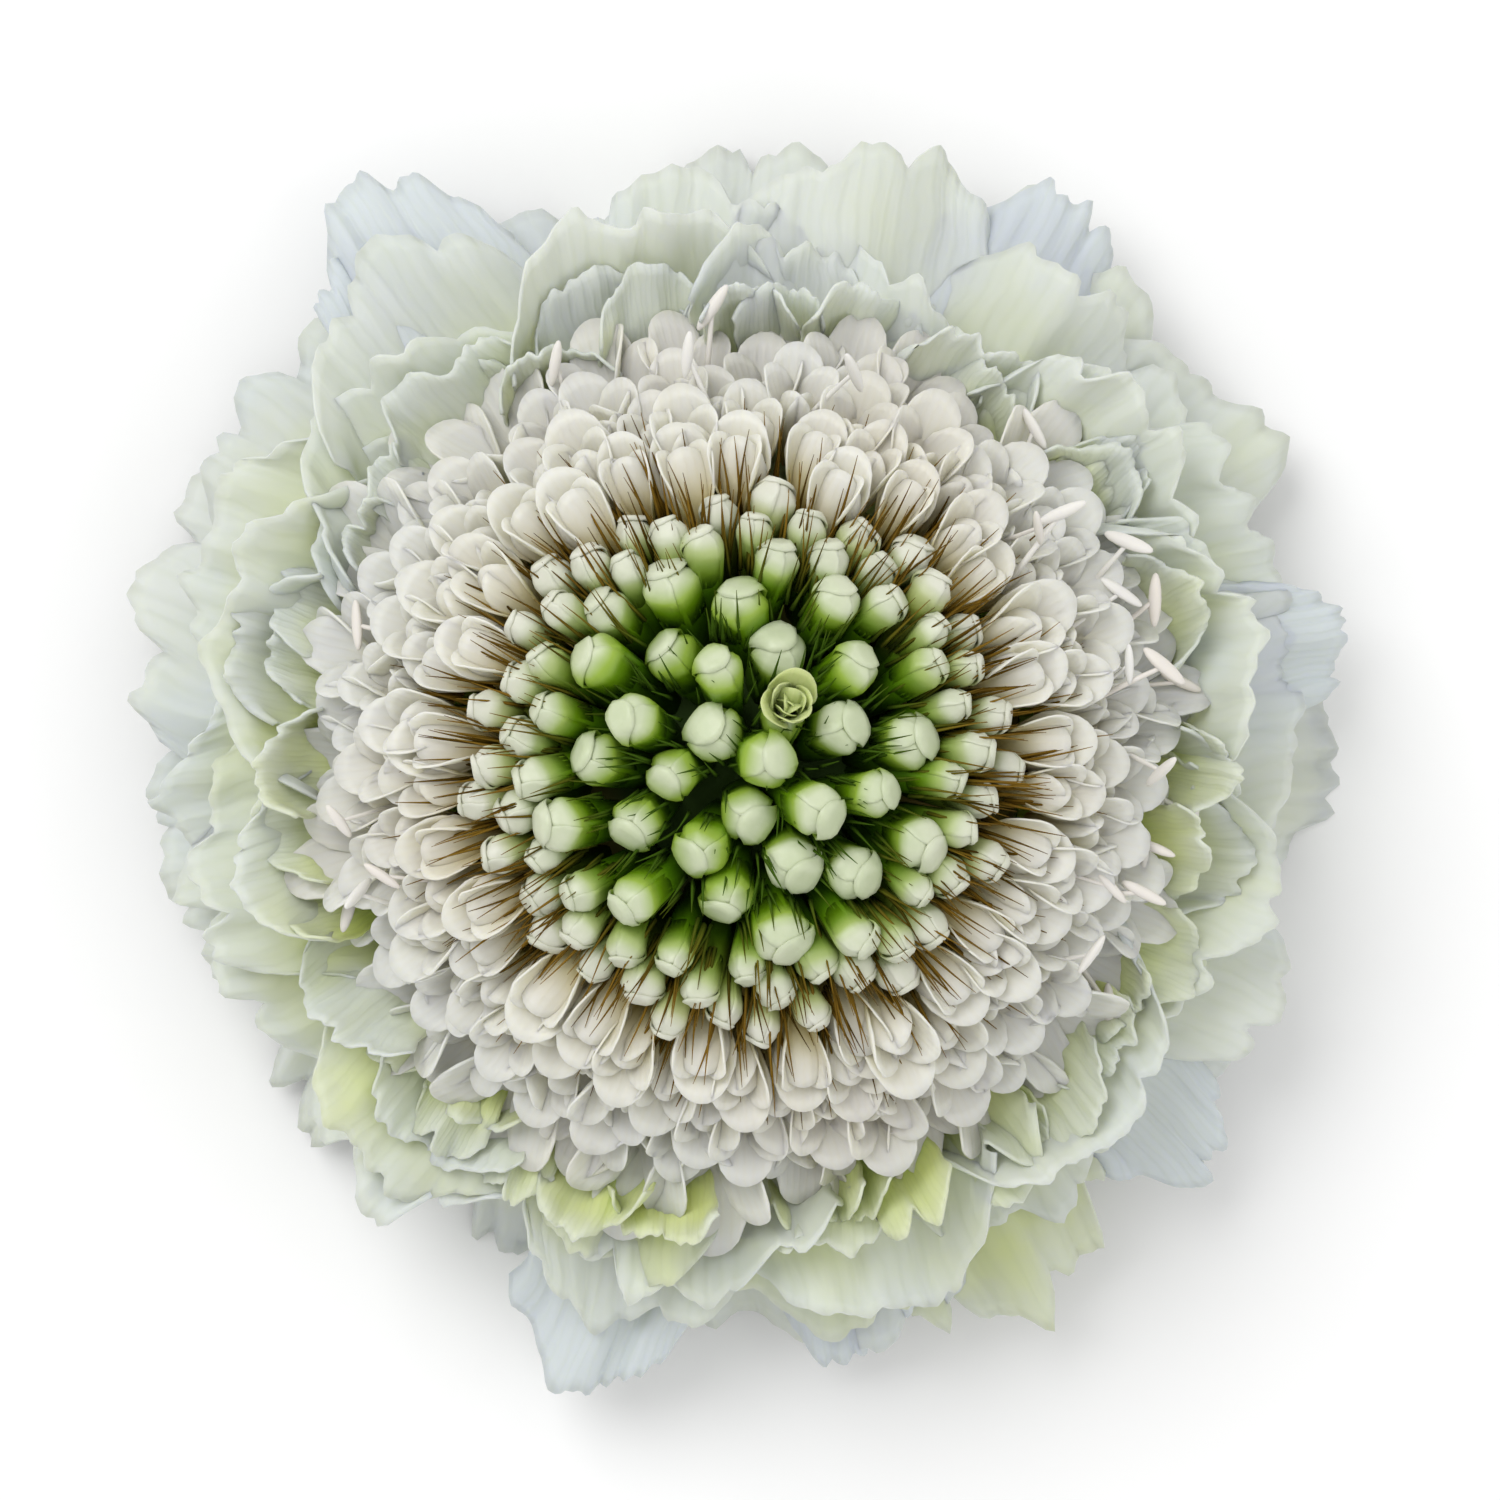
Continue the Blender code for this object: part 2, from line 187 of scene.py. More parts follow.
def newGroup(name, inputs, outputs):
    group = bpy.data.node_groups.new(name, "ShaderNodeTree")
    for title, start in inputs:
        socket = group.interface.new_socket(title, in_out="INPUT", socket_type="NodeSocketFloat")
        socket.default_value = start
    for title in outputs:
        group.interface.new_socket(title, in_out="OUTPUT", socket_type="NodeSocketFloat")
    return group, group.nodes.new("NodeGroupInput"), group.nodes.new("NodeGroupOutput")


def feed(tree, node, values):  # to inputs, by name or number: another node's output, or a plain value
    for title, value in values.items():
        if isinstance(value, bpy.types.NodeSocket):
            tree.links.new(value, node.inputs[title])
        else:
            node.inputs[title].default_value = value


def mathNode(tree, operation, *values):
    node = tree.nodes.new("ShaderNodeMath")
    node.operation = operation
    feed(tree, node, dict(enumerate(values)))
    return node.outputs[0]


def times(tree, first, second):
    return mathNode(tree, "MULTIPLY", first, second)


def timesPlus(tree, first, second, third):
    return mathNode(tree, "MULTIPLY_ADD", first, second, third)


def ramp(tree, factor, stops):
    node = tree.nodes.new("ShaderNodeValToRGB")
    points = node.color_ramp.elements
    while len(points) < len(stops):
        points.new(1.0)
    for point, (place, shade) in zip(points, stops):
        point.position = place
        point.color = shade
    feed(tree, node, {"Fac": factor})
    return node.outputs["Color"]


def mixColour(tree, factor, first, second):
    node = tree.nodes.new("ShaderNodeMix")
    node.data_type = "RGBA"
    feed(tree, node, {0: factor, 6: first, 7: second})
    return node.outputs[2]


def splitPlace(tree, place):  # its X, Y and Z
    apart = tree.nodes.new("ShaderNodeSeparateXYZ")
    feed(tree, apart, {0: place})
    return apart.outputs


def makeHeadPlaceGroup():
    group, _, out = newGroup("headPlace", [], ["Depth", "Radius"])
    x, y, z = splitPlace(group, group.nodes.new("ShaderNodeTexCoord").outputs["Object"])
    rise = head["domeTop"] - head["focusHeight"]
    radius = mathNode(group, "SQRT", timesPlus(group, y, y, times(group, x, x)))
    height = mathNode(group, "SUBTRACT", z, head["focusHeight"])
    upShare = mathNode(group, "DIVIDE", height, rise)
    outShare = mathNode(group, "DIVIDE", radius, head["domeRadius"])
    upSquare = times(group, upShare, upShare)
    depth = mathNode(group, "SQRT", timesPlus(group, outShare, outShare, upSquare))
    # Depth is 0 at the focus and 1 on the dome, and Radius is in millimetres
    feed(group, out, {"Depth": depth, "Radius": times(group, radius, 1 / mm)})
    return group


def makeVeinGroup():
    sockets = [("Along", 0.0), ("Across", 0.0), ("Count", 12.0), ("Sharpness", 3.0), ("Wander", 0.6)]
    group, take, out = newGroup("petalVeins", sockets, ["Vein"])
    along, across = take.outputs["Along"], take.outputs["Across"]
    join = group.nodes.new("ShaderNodeCombineXYZ")
    feed(group, join, {0: times(group, along, 2.5), 1: times(group, across, 3.0)})
    drift = group.nodes.new("ShaderNodeTexNoise")
    feed(group, drift, {"Scale": 2.0, "Detail": 2.0, "Vector": join.outputs[0]})
    lean = mathNode(group, "SUBTRACT", drift.outputs["Fac"], 0.5)
    lean = times(group, lean, take.outputs["Wander"])
    wave = times(group, mathNode(group, "SUBTRACT", across, 0.5), take.outputs["Count"])
    wave = times(group, mathNode(group, "ADD", wave, lean), math.pi)
    crest = mathNode(group, "ABSOLUTE", mathNode(group, "COSINE", wave))
    feed(group, out, {"Vein": mathNode(group, "POWER", crest, take.outputs["Sharpness"])})
    return group


def makeMottleGroup():
    group, take, out = newGroup("mottle", [("Scale", 400.0), ("Low", 0.35), ("High", 0.65)], ["Value"])
    place = group.nodes.new("ShaderNodeTexCoord").outputs["Object"]
    cloud = group.nodes.new("ShaderNodeTexNoise")
    feed(group, cloud, {"Detail": 3.0, "Scale": take.outputs["Scale"], "Vector": place})
    spread = group.nodes.new("ShaderNodeMapRange")
    spread.interpolation_type = "SMOOTHSTEP"
    limits = {"From Min": take.outputs["Low"], "From Max": take.outputs["High"]}
    feed(group, spread, {"Value": cloud.outputs["Fac"], **limits})
    feed(group, out, {"Value": spread.outputs["Result"]})
    return group


groups = {"headPlace": makeHeadPlaceGroup(), "veins": makeVeinGroup(), "mottle": makeMottleGroup()}


def useGroup(tree, name, output, **values):
    node = tree.nodes.new("ShaderNodeGroup")
    node.node_tree = groups[name]
    feed(tree, node, values)
    return node.outputs[output]


def mottle(tree, **values):
    return useGroup(tree, "mottle", "Value", **values)


def fade(tree, value, low, high):  # 0 up to low, 1 from high on
    node = tree.nodes.new("ShaderNodeMapRange")
    feed(tree, node, {"Value": value, "From Min": low, "From Max": high})
    return node.outputs["Result"]


def newMaterial(name, roughness, glow, specular):
    material = bpy.data.materials.new(name)
    material.use_nodes = True
    tree = material.node_tree
    shader = tree.nodes["Principled BSDF"]
    feed(tree, shader, {
        "Roughness": roughness,
        "Specular IOR Level": specular,
        "Subsurface Weight": glow,  # light that soaks through the petal
        "Subsurface Radius": (1.0, 1.0, 0.6),
        "Subsurface Scale": 0.8 * mm,
    })
    return material, tree, shader


def petalPlace(tree):  # along and across of a petal, from its own UV map
    across, along, _ = splitPlace(tree, tree.nodes.new("ShaderNodeUVMap").outputs["UV"])
    return along, across


def attribute(tree, name):
    node = tree.nodes.new("ShaderNodeAttribute")
    node.attribute_name = name
    return node.outputs["Fac"]


def addBump(tree, shader, height, strength, distance):
    bump = tree.nodes.new("ShaderNodeBump")
    feed(tree, bump, {"Strength": strength, "Distance": distance, "Height": height})
    feed(tree, shader, {"Normal": bump.outputs["Normal"]})


# Closed buds

budLook = {
    "width": 2.9 * mm,
    "length": 8.6 * mm,
    "crown": 1.25 * mm,  # from the widest place up to the tip
    "sides": 5,
    "tubeShare": 0.42,  # the tube's width at its foot, as a share of the bud's
    "hoodWall": 0.12 * mm,
    "hoodSink": 0.06 * mm,  # how deep a hood's foot is in the bud
    # Hoods: turn in degrees, half width in degrees, how far past the tip in degrees, lift
    "hoods": ((8, 58, 22, 0.26 * mm), (134, 56, -8, 0.16 * mm), (232, 58, -16, 0.08 * mm)),
    # Flat cuts on the crown: turn and tilt in degrees, distance as a share of the whole crown's
    "cuts": ((0, 20, 0.80), (75, 50, 0.86), (150, 44, 0.84), (215, 52, 0.86), (290, 48, 0.87)),
}
# Down a bud the colours darken towards its foot: the darkest colour of each ramp is painted shade where the
# foot stands deep among the neighbouring buds, over the bud's own green
budColours = {
    "deep": colour(28, 52, 2),
    "low": colour(64, 104, 4),
    "side": colour(104, 144, 12),
    "shoulder": colour(150, 178, 66),
    "tip": colour(206, 215, 180),
    "agedSide": colour(162, 162, 82),
    "agedShoulder": colour(190, 194, 142),
    "agedTip": colour(220, 220, 203),
    "agedDeepShade": colour(136, 116, 46),
}


def budFacets(look, seed):  # the flat cuts, each a direction and a distance from the widest place
    draws = random.Random(seed)
    half, crown = 0.5 * look["width"], look["crown"]
    facets = []
    for turn, tilt, share in look["cuts"]:
        turn = math.radians(turn + draws.uniform(-16, 16))
        tilt = math.radians(tilt + draws.uniform(-7, 7))
        normal = Vector((math.sin(tilt) * math.cos(turn), math.sin(tilt) * math.sin(turn), math.cos(tilt)))
        facets.append((normal, share * math.hypot(half * math.sin(tilt), crown * math.cos(tilt))))
    return facets


def budPoint(direction, lift, look, facets):  # a place on the bud, whose tip is at the origin
    half, crown = 0.5 * look["width"], look["crown"]
    flat = math.hypot(direction.x, direction.y)
    corner = math.tau / look["sides"]
    around = (math.atan2(direction.y, direction.x) + 0.3) % corner - 0.5 * corner
    polygon = 0.45 + 0.55 * math.cos(0.5 * corner) / math.cos(around)
    if direction.z >= 0:
        reach = 1 / math.hypot(flat / half, direction.z / crown)
        point = Vector((direction.x * polygon, direction.y * polygon, direction.z)) * reach
        point += direction * lift
    else:  # the barrel and the tube below it
        share = -direction.z
        narrow = 1 - 0.2 * smooth(share, 0.0, 0.5)
        narrow -= (0.8 - look["tubeShare"]) * smooth(share, 0.4, 0.85)
        narrow *= half * polygon if share < 0.995 else 0
        out = Vector((direction.x, direction.y)).normalized() * (narrow + lift)
        point = Vector((out.x, out.y, -(look["length"] - crown) * share))
    for normal, distance in facets:
        over = point.dot(normal) - distance - lift
        if over > 0:
            point -= normal * over * 0.95
    return point - Vector((0, 0, crown))


def makeHood(look, turn, halfWidth, past, lift, facets):
    spin = Matrix.Rotation(math.radians(turn), 3, "Z")
    hood = newSheet("hood", 8, 8)

    def place(along, across):
        tuck = 1 - math.sqrt(1 - 0.9 * across * across)
        climb = math.radians(104 - (104 + past) * (along - 0.3 * tuck * along))
        side = math.radians(halfWidth) * across * (1 - 0.25 * along**3)
        flat = math.cos(side)
        direction = Vector((flat * math.sin(climb), math.sin(side), flat * math.cos(climb)))
        direction.z = max(direction.z, -0.2)
        raised = -look["hoodSink"] + (lift + look["hoodSink"]) * smooth(along, 0.05, 0.4)
        return budPoint(spin @ direction.normalized(), raised, look, facets)

    shapeSheet(hood, place)
    giveThickness(hood, look["hoodWall"])
    return hood


def makeBud(name, look, seed):
    facets = budFacets(look, seed)
    body = newShape(bpy.ops.mesh.primitive_uv_sphere_add, segments=20, ring_count=20, radius=1)
    for vertex in body.data.vertices:
        vertex.co = budPoint(vertex.co.normalized(), 0, look, facets)
    bud = joinPieces(name, [body] + [makeHood(look, *hood, facets) for hood in look["hoods"]])
    setField(bud, "below", [-vertex.co.z / mm for vertex in bud.data.vertices])  # millimetres below the tip
    return bud


def makeBudMaterial():
    material, tree, shader = newMaterial("budSkin", 0.36, 0.12, 0.4)
    below = timesPlus(tree, attribute(tree, "tone"), 0.8, attribute(tree, "below"))
    below = times(tree, mathNode(tree, "SUBTRACT", below, 0.3), 1 / 8)
    # Pale tip down to a dark foot, whose darkest part is painted shade among the neighbouring buds
    fresh = ramp(tree, below, [
        (0.04, budColours["tip"]),
        (0.12, budColours["shoulder"]),
        (0.21, budColours["side"]),
        (0.38, budColours["low"]),
        (0.60, budColours["deep"]),
    ])
    aged = ramp(tree, below, [
        (0.08, budColours["agedTip"]),
        (0.17, budColours["agedShoulder"]),
        (0.28, budColours["agedSide"]),
        (0.48, budColours["agedDeepShade"]),
    ])
    skin = mixColour(tree, fade(tree, useGroup(tree, "headPlace", "Radius"), 8.5, 13.0), fresh, aged)
    speckle = mottle(tree, Scale=900.0)
    skin = mixColour(tree, times(tree, speckle, 0.1), skin, budColours["side"])
    feed(tree, shader, {"Base Color": skin})
    addBump(tree, shader, mottle(tree, Scale=2200.0), 0.12, 0.05 * mm)
    return material


budStages = {
    # Ranges: size, how far the tips end past the dome in millimetres, and lean down the dome in radians
    "bud": {"piece": "closedBuds", "size": (0.86, 1.04), "rise": (-1.6, 0.4), "lean": (0.0, 0.26)},
    "halfOpen": {"piece": "smallBuds", "size": (0.62, 0.84), "rise": (-0.9, 0.1), "lean": (0.05, 0.3)},
}
openingLook = {  # the one floret among the closed buds that has begun to open
    "spot": 3,
    "budSink": 1.5 * mm,
    "sink": 1.2 * mm,
    "height": 0.66,
    "tone": 0.9,
    "layers": (("hooded", 0.4, 0.66), ("cupped", 2.6, 0.58), ("hooded", 4.4, 0.46)),  # kind, turn and size
}


def makeBuds(material):
    draws = random.Random(5)
    shapes = [makeBud("budShape", budLook, seed) for seed in (1, 2, 3, 4)]
    stamped = {stage["piece"]: [] for stage in budStages.values()}
    for number, (band, tilt, turn) in enumerate(headSpots()):
        if band not in budStages:
            break
        stage = budStages[band]
        size = draws.uniform(*stage["size"])
        distance = domeDistance(tilt) + draws.uniform(*stage["rise"]) * mm
        distance -= openingLook["budSink"] if number == openingLook["spot"] else 0
        lean = draws.uniform(*stage["lean"])
        lean = Matrix.Rotation(lean, 4, "Y") @ Matrix.Rotation(draws.uniform(-0.14, 0.14), 4, "X")
        spin = Matrix.Rotation(draws.uniform(-0.8, 0.8), 4, "Z")
        grow = Matrix.Diagonal((size, size * draws.uniform(0.88, 1.0), 1.0, 1.0))
        place = headFrame(tilt, turn, distance) @ lean @ spin @ grow
        stamped[stage["piece"]].append(stampCopy(draws.choice(shapes), place, draws.random()))
    removePieces(shapes)
    for name, copies in stamped.items():
        finishPiece(joinPieces(name, copies), material, "bud_green", "centre_buds")


# The bases that the florets stand on

bedLook = {
    "segments": 64,
    "rings": 32,
    "ridge": 0.25 * mm,
    "edge": math.radians(84),  # where the dome turns under
    # The underside in millimetres: radius and height at the edge, and what each loses on the way in
    "underRadius": 14.2,
    "underNarrow": 9.0,
    "underHeight": 11.4,
    "underDrop": 0.4,
}
# The bed lies deep under the florets: its dark green and brown are its own colour, darkened by painted shade
# in the gaps between the buds and florets
bedColours = {
    "inner": colour(42, 66, 10),
    "middle": colour(134, 116, 52),
    "outer": colour(140, 132, 76),
    "under": colour(146, 168, 92),
}


def makeBedMaterial():
    material, tree, shader = newMaterial("floretBase", 0.7, 0.0, 0.2)
    place = times(tree, useGroup(tree, "headPlace", "Radius"), 1 / 20)
    # Dark green in the middle to brown further out: the bed's own colours, darker for painted shade between
    # the florets
    shade = ramp(tree, place, [
        (0.3, bedColours["inner"]),
        (0.5, bedColours["middle"]),
        (0.9, bedColours["outer"]),
    ])
    shade = mixColour(tree, attribute(tree, "under"), shade, bedColours["under"])
    feed(tree, shader, {"Base Color": shade})
    return material


def makeBed(material):
    bed = newShape(
        bpy.ops.mesh.primitive_uv_sphere_add,
        segments=bedLook["segments"], ring_count=bedLook["rings"], radius=1,
    )
    edge = bedLook["edge"]
    for vertex in bed.data.vertices:
        direction = vertex.co.normalized()
        tilt = math.acos(max(-1.0, min(1.0, direction.z)))
        if tilt < edge:
            reach = domeDistance(tilt) * (head["bedDepth"] + 0.04 * smooth(math.degrees(tilt), 30, 50))
            reach += bedLook["ridge"] * noise.noise(direction * 14)
            vertex.co = direction * reach + Vector((0, 0, head["focusHeight"]))
        else:  # the underside, drawn in to the receptacle
            share = (tilt - edge) / (math.pi - edge)
            ring = Vector((direction.x, direction.y))
            ring = ring.normalized() if direction.z > -0.9999 else Vector((0, 0))
            reach = (bedLook["underRadius"] - bedLook["underNarrow"] * share) * mm if share < 0.99 else 0
            height = (bedLook["underHeight"] - bedLook["underDrop"] * share) * mm
            vertex.co = (ring.x * reach, ring.y * reach, height)
    under = [smooth(-vertex.co.z, -13 * mm, -11.5 * mm) for vertex in bed.data.vertices]
    setField(bed, "under", under)
    finishPiece(joinPieces("floretBases", [bed]), material, "bud_green")


# Open white florets

floretLooks = {
    # Until is how far out a kind stands, from 0 at the first florets to 1 at the last
    # Each lobe: turn in degrees, length and half width in millimetres, flare in degrees, cup
    "hooded": {
        "until": 0.2,
        "throat": -3.0 * mm,
        "lobes": (
            (0, 4.2, 1.8, 60, 0.2), (64, 3.3, 1.35, 68, 0.26), (-64, 3.3, 1.35, 68, 0.26),
            (176, 3.2, 1.6, 112, 0.5),
        ),
    },
    "cupped": {
        "until": 0.46,
        "throat": -3.0 * mm,
        "lobes": (
            (0, 4.6, 1.75, 56, 0.22), (62, 3.7, 1.4, 64, 0.26), (-62, 3.6, 1.4, 66, 0.26),
            (158, 2.9, 1.35, 106, 0.4), (-150, 2.6, 1.25, 98, 0.4),
        ),
    },
    "open": {
        "until": 0.78,
        "throat": -2.8 * mm,
        "lobes": (
            (4, 5.1, 1.7, 54, 0.2), (58, 4.1, 1.4, 58, 0.24), (-56, 4.2, 1.4, 60, 0.24),
            (140, 2.8, 1.25, 84, 0.3), (-140, 2.7, 1.25, 88, 0.3),
        ),
    },
    "wide": {
        "until": 2.0,
        "throat": -2.6 * mm,
        "lobes": (
            (-5, 6.5, 1.65, 47, 0.14), (46, 5.2, 1.35, 52, 0.2), (-54, 5.1, 1.35, 50, 0.2),
            (132, 3.0, 1.3, 70, 0.25), (-128, 3.0, 1.3, 72, 0.25),
        ),
    },
}
# Each ramp runs from a lobe's base deep in the floret to its rim: the base colours are the floret's own
# cream, darkened and browned by painted shade inside the floret
floretColours = {
    "innerBaseAndShade": colour(208, 186, 114),
    "innerThroat": colour(221, 209, 162),
    "innerPetal": colour(229, 224, 200),
    "innerRim": colour(228, 227, 214),
    "outerBaseAndShade": colour(178, 180, 116),
    "outerThroat": colour(204, 203, 180),
    "outerPetal": colour(213, 214, 204),
    "outerRim": colour(222, 223, 215),
    "warm": colour(221, 206, 178),
    "young": colour(190, 203, 132),
}
floretEdge = {"ripple": 0.14 * mm, "rimCurl": 0.14 * mm, "thickness": 0.11 * mm}


def makeLobe(turn, length, halfWidth, flare, cup, throat, seed):
    flare = math.radians(flare)
    length *= mm
    halfWidth *= mm
    tip = (length * math.cos(flare) + 0.35 * mm, 0, length * math.sin(flare) + 0.2 * throat)
    curve = ((0.3 * mm, 0, throat), (0.75 * mm, 0, 0.3 * tip[2] + 0.2 * throat), tip)
    spin = Matrix.Rotation(math.radians(turn), 3, "Z")
    lobe = newSheet("lobe", 10, 9)

    def place(along, across):
        rounding = 0.92 * (1 - math.sqrt(1 - 0.97 * across * across)) * halfWidth / length
        reach = along * (1 - rounding * smooth(along, 0.2, 1.0))
        x, _, z = bezier(curve, reach)
        ahead = bezier(curve, min(1.0, reach + 0.02))
        behind = bezier(curve, max(0.0, reach - 0.02))
        slope = Vector((ahead[0] - behind[0], 0, ahead[2] - behind[2])).normalized()
        inward = Vector((-slope.z, 0, slope.x))
        width = halfWidth * (0.26 + 0.74 * math.sin(0.5 * math.pi * min(1.0, along / 0.75)) ** 1.2)
        ripple = floretEdge["ripple"] * noise.noise(Vector((seed * 7.1, along * 3, across * 2))) * along
        rimCurl = floretEdge["rimCurl"] * smooth(max(along, abs(across)), 0.75, 1.0)
        lift = cup * width * across * across + ripple + rimCurl
        return spin @ (Vector((x, width * across, z)) + inward * lift)

    shapeSheet(lobe, place)
    giveThickness(lobe, floretEdge["thickness"])
    return lobe


def makeFloret(name, look, seed):
    parts = [makeLobe(*lobe, look["throat"], seed + number) for number, lobe in enumerate(look["lobes"])]
    return joinPieces(name, parts)


def makeFloretMaterial():
    material, tree, shader = newMaterial("floretPetal", 0.42, 0.4, 0.35)
    radius = useGroup(tree, "headPlace", "Radius")
    along, across = petalPlace(tree)
    place = mathNode(tree, "ADD", along, -0.07)
    place = timesPlus(tree, attribute(tree, "tone"), 0.14, place)
    # The lobe's base colour, at the start of each ramp, holds painted shade deep in the throat
    near = ramp(tree, place, [
        (0.17, floretColours["innerBaseAndShade"]),
        (0.42, floretColours["innerThroat"]),
        (0.68, floretColours["innerPetal"]),
        (1.0, floretColours["innerRim"]),
    ])
    far = ramp(tree, place, [
        (0.15, floretColours["outerBaseAndShade"]),
        (0.42, floretColours["outerThroat"]),
        (0.70, floretColours["outerPetal"]),
        (1.0, floretColours["outerRim"]),
    ])
    petal = mixColour(tree, fade(tree, radius, 15.0, 20.5), near, far)
    petal = mixColour(tree, fade(tree, radius, 7.0, 10.0), floretColours["young"], petal)
    veins = useGroup(tree, "veins", "Vein", Along=along, Across=across, Count=7.0, Sharpness=4.0)
    petal = mixColour(tree, times(tree, veins, 0.07), petal, floretColours["innerThroat"])
    cloud = mottle(tree, Scale=70.0, Low=0.45, High=0.65)
    petal = mixColour(tree, times(tree, cloud, 0.22), petal, floretColours["warm"])
    feed(tree, shader, {"Base Color": petal})
    addBump(tree, shader, veins, 0.2, 0.06 * mm)
    return material


def makeFlorets(material):
    draws = random.Random(19)
    shapes = {}
    for name, look in floretLooks.items():
        shapes[name] = [makeFloret(name, look, seed) for seed in (1, 11, 21)]
    rings = {"innerFlorets": [], "outerFlorets": []}
    spots = [spot for spot in headSpots() if spot[0] == "floret"]
    first, last = spots[0][1], spots[-1][1]
    for band, tilt, turn in spots:
        outward = (tilt - first) / (last - first)
        stage = outward + draws.uniform(-0.08, 0.08)
        kind = next(name for name, look in floretLooks.items() if stage < look["until"])
        distance = domeDistance(tilt) - (1.3 + 0.5 * draws.random()) * mm
        lean = Matrix.Rotation(-0.3 * outward + draws.uniform(-0.1, 0.1), 4, "Y")
        twist = Matrix.Rotation(draws.uniform(-0.25, 0.25) * (1 + outward), 4, "Z")
        size = Matrix.Scale(draws.uniform(0.78, 0.98 if outward < 0.8 else 1.2), 4)
        place = headFrame(tilt + draws.uniform(-0.03, 0.03), turn + draws.uniform(-0.04, 0.04), distance)
        place = place @ twist @ lean @ size
        ring = "innerFlorets" if outward < 0.5 else "outerFlorets"
        rings[ring].append(stampCopy(draws.choice(shapes[kind]), place, draws.random()))
    _, tilt, turn = list(headSpots())[openingLook["spot"]]
    for kind, turned, size in openingLook["layers"]:
        place = headFrame(tilt, turn, domeDistance(tilt) - openingLook["sink"])
        grow = Matrix.Diagonal((size, size, openingLook["height"], 1.0))
        place = place @ Matrix.Rotation(turned, 4, "Z") @ grow
        rings["innerFlorets"].append(stampCopy(shapes[kind][0], place, openingLook["tone"]))
    removePieces([shape for trio in shapes.values() for shape in trio])
    for name, stamped in rings.items():
        finishPiece(joinPieces(name, stamped), material, "floret_cream", "disc_florets")


# The ruffled skirt

rayLooks = {
    # Millimetres, with heights of root, middle and tip. Phases are those of the row's four ruffles, own is a
    # petal's own wave, mixed is how unlike the petals are, green how far the yellow-green reaches at least,
    # and outer rows follow the outline of the skirt
    "frills": {
        "count": 34, "reach": 24.6, "length": 7.5, "halfWidth": 2.6, "heights": (11.4, 12.4, 13.2),
        "ruffle": 1.2, "phases": (1.0, 2.0, 3.0, 4.0), "dip": 0.0, "curl": 1.2, "own": 0.5, "mixed": 2.4,
        "green": 0.7, "outer": False, "seed": 8,
    },
    "innerRays": {
        "count": 17, "reach": 26.4, "length": 11.0, "halfWidth": 4.1, "heights": (11.2, 11.7, 12.7),
        "ruffle": 1.3, "phases": (6.02, 0.88, 0.15, 6.27), "dip": 0.0, "curl": 1.2, "own": 0.5, "mixed": 2.2,
        "green": 0.35, "outer": False, "seed": 12,
    },
    "upperRays": {
        "count": 12, "reach": 27.8, "length": 14.0, "halfWidth": 7.4, "heights": (10.9, 10.8, 12.3),
        "ruffle": 1.4, "phases": (6.02, 0.88, 0.15, 6.27), "dip": 0.0, "curl": 1.0, "own": 0.5, "mixed": 1.6,
        "green": 0.18, "outer": False, "seed": 3,
    },
    "middleRays": {
        "count": 14, "reach": 30.7, "length": 17.0, "halfWidth": 7.8, "heights": (10.2, 9.9, 7.9),
        "ruffle": 1.9, "phases": (3.18, 3.25, 2.57, 4.15), "dip": 0.0, "curl": 0.8, "own": 0.4, "mixed": 1.0,
        "green": 0.1, "outer": True, "seed": 4,
    },
    "lowerRays": {
        "count": 13, "reach": 31.5, "length": 20.0, "halfWidth": 8.6, "heights": (9.4, 9.0, 2.6),
        "ruffle": 1.3, "phases": (4.93, 5.15, 3.82, 5.92), "dip": 2.5, "curl": 0.4, "own": 0.3, "mixed": 0.7,
        "green": 0.0, "outer": True, "seed": 6,
    },
    "longRays": {
        "count": 7, "reach": 31.0, "length": 17.0, "halfWidth": 0.0, "heights": (9.8, 9.6, 5.2),
        "ruffle": 0.6, "phases": (1.0, 2.0, 3.0, 4.0), "dip": 0.0, "curl": 0.5, "own": 0.5, "mixed": 0.0,
        "green": 0.0, "outer": False, "seed": 9,
    },
}
# The longest petals, one by one: direction in degrees, reach and half width in millimetres
longPetals = (
    (123, 35.3, 5.2), (131, 33.5, 4.4), (259, 33.4, 4.7), (281, 31.5, 4.2), (57, 33.4, 5.6),
    (322, 32.3, 3.8), (13, 31.7, 3.8),
)
rayFolds = {
    "thickness": 0.15 * mm,
    "waves": ((0.45, 4), (0.4, 7), (0.6, 12), (0.4, 17)),  # share of a row's ruffle, how many round the head
    "shingle": 0.8 * mm,  # how far one side of a petal lies over its neighbour
    "crumple": 0.5 * mm,
    "pleat": 0.7 * mm,
    "pleatWidth": 1.5 * mm,
    "crease": 0.25 * mm,
    "lowest": 0.12 * mm,  # no petal goes through the surface that the head rests on
}
rayColours = {
    "fold": colour(196, 217, 112),
    "base": colour(211, 222, 150),
    "middle": colour(206, 213, 182),
    "rim": colour(207, 213, 204),
    "white": colour(214, 218, 213),
    "blue": colour(201, 209, 213),
    "vein": colour(178, 190, 152),
}
# Where the outline of the skirt bulges or draws in: direction and half width in degrees, and how far
skirtOutline = (
    (60, 24, 1.2 * mm), (93, 12, 1.0 * mm), (128, 12, 1.6 * mm), (152, 14, 0.8 * mm), (216, 12, -1.3 * mm),
    (241, 14, -2.0 * mm), (260, 7, 0.6 * mm), (271, 4, -2.0 * mm), (311, 11, -2.4 * mm), (342, 9, -1.4 * mm),
)


def skirtReach(angle):  # what the outline adds to the petals' reach at an angle round the head
    extra = 0
    for centre, width, amount in skirtOutline:
        apart = (math.degrees(angle) - centre + 180) % 360 - 180
        extra += amount * math.exp(-((apart / width) ** 2))
    return extra


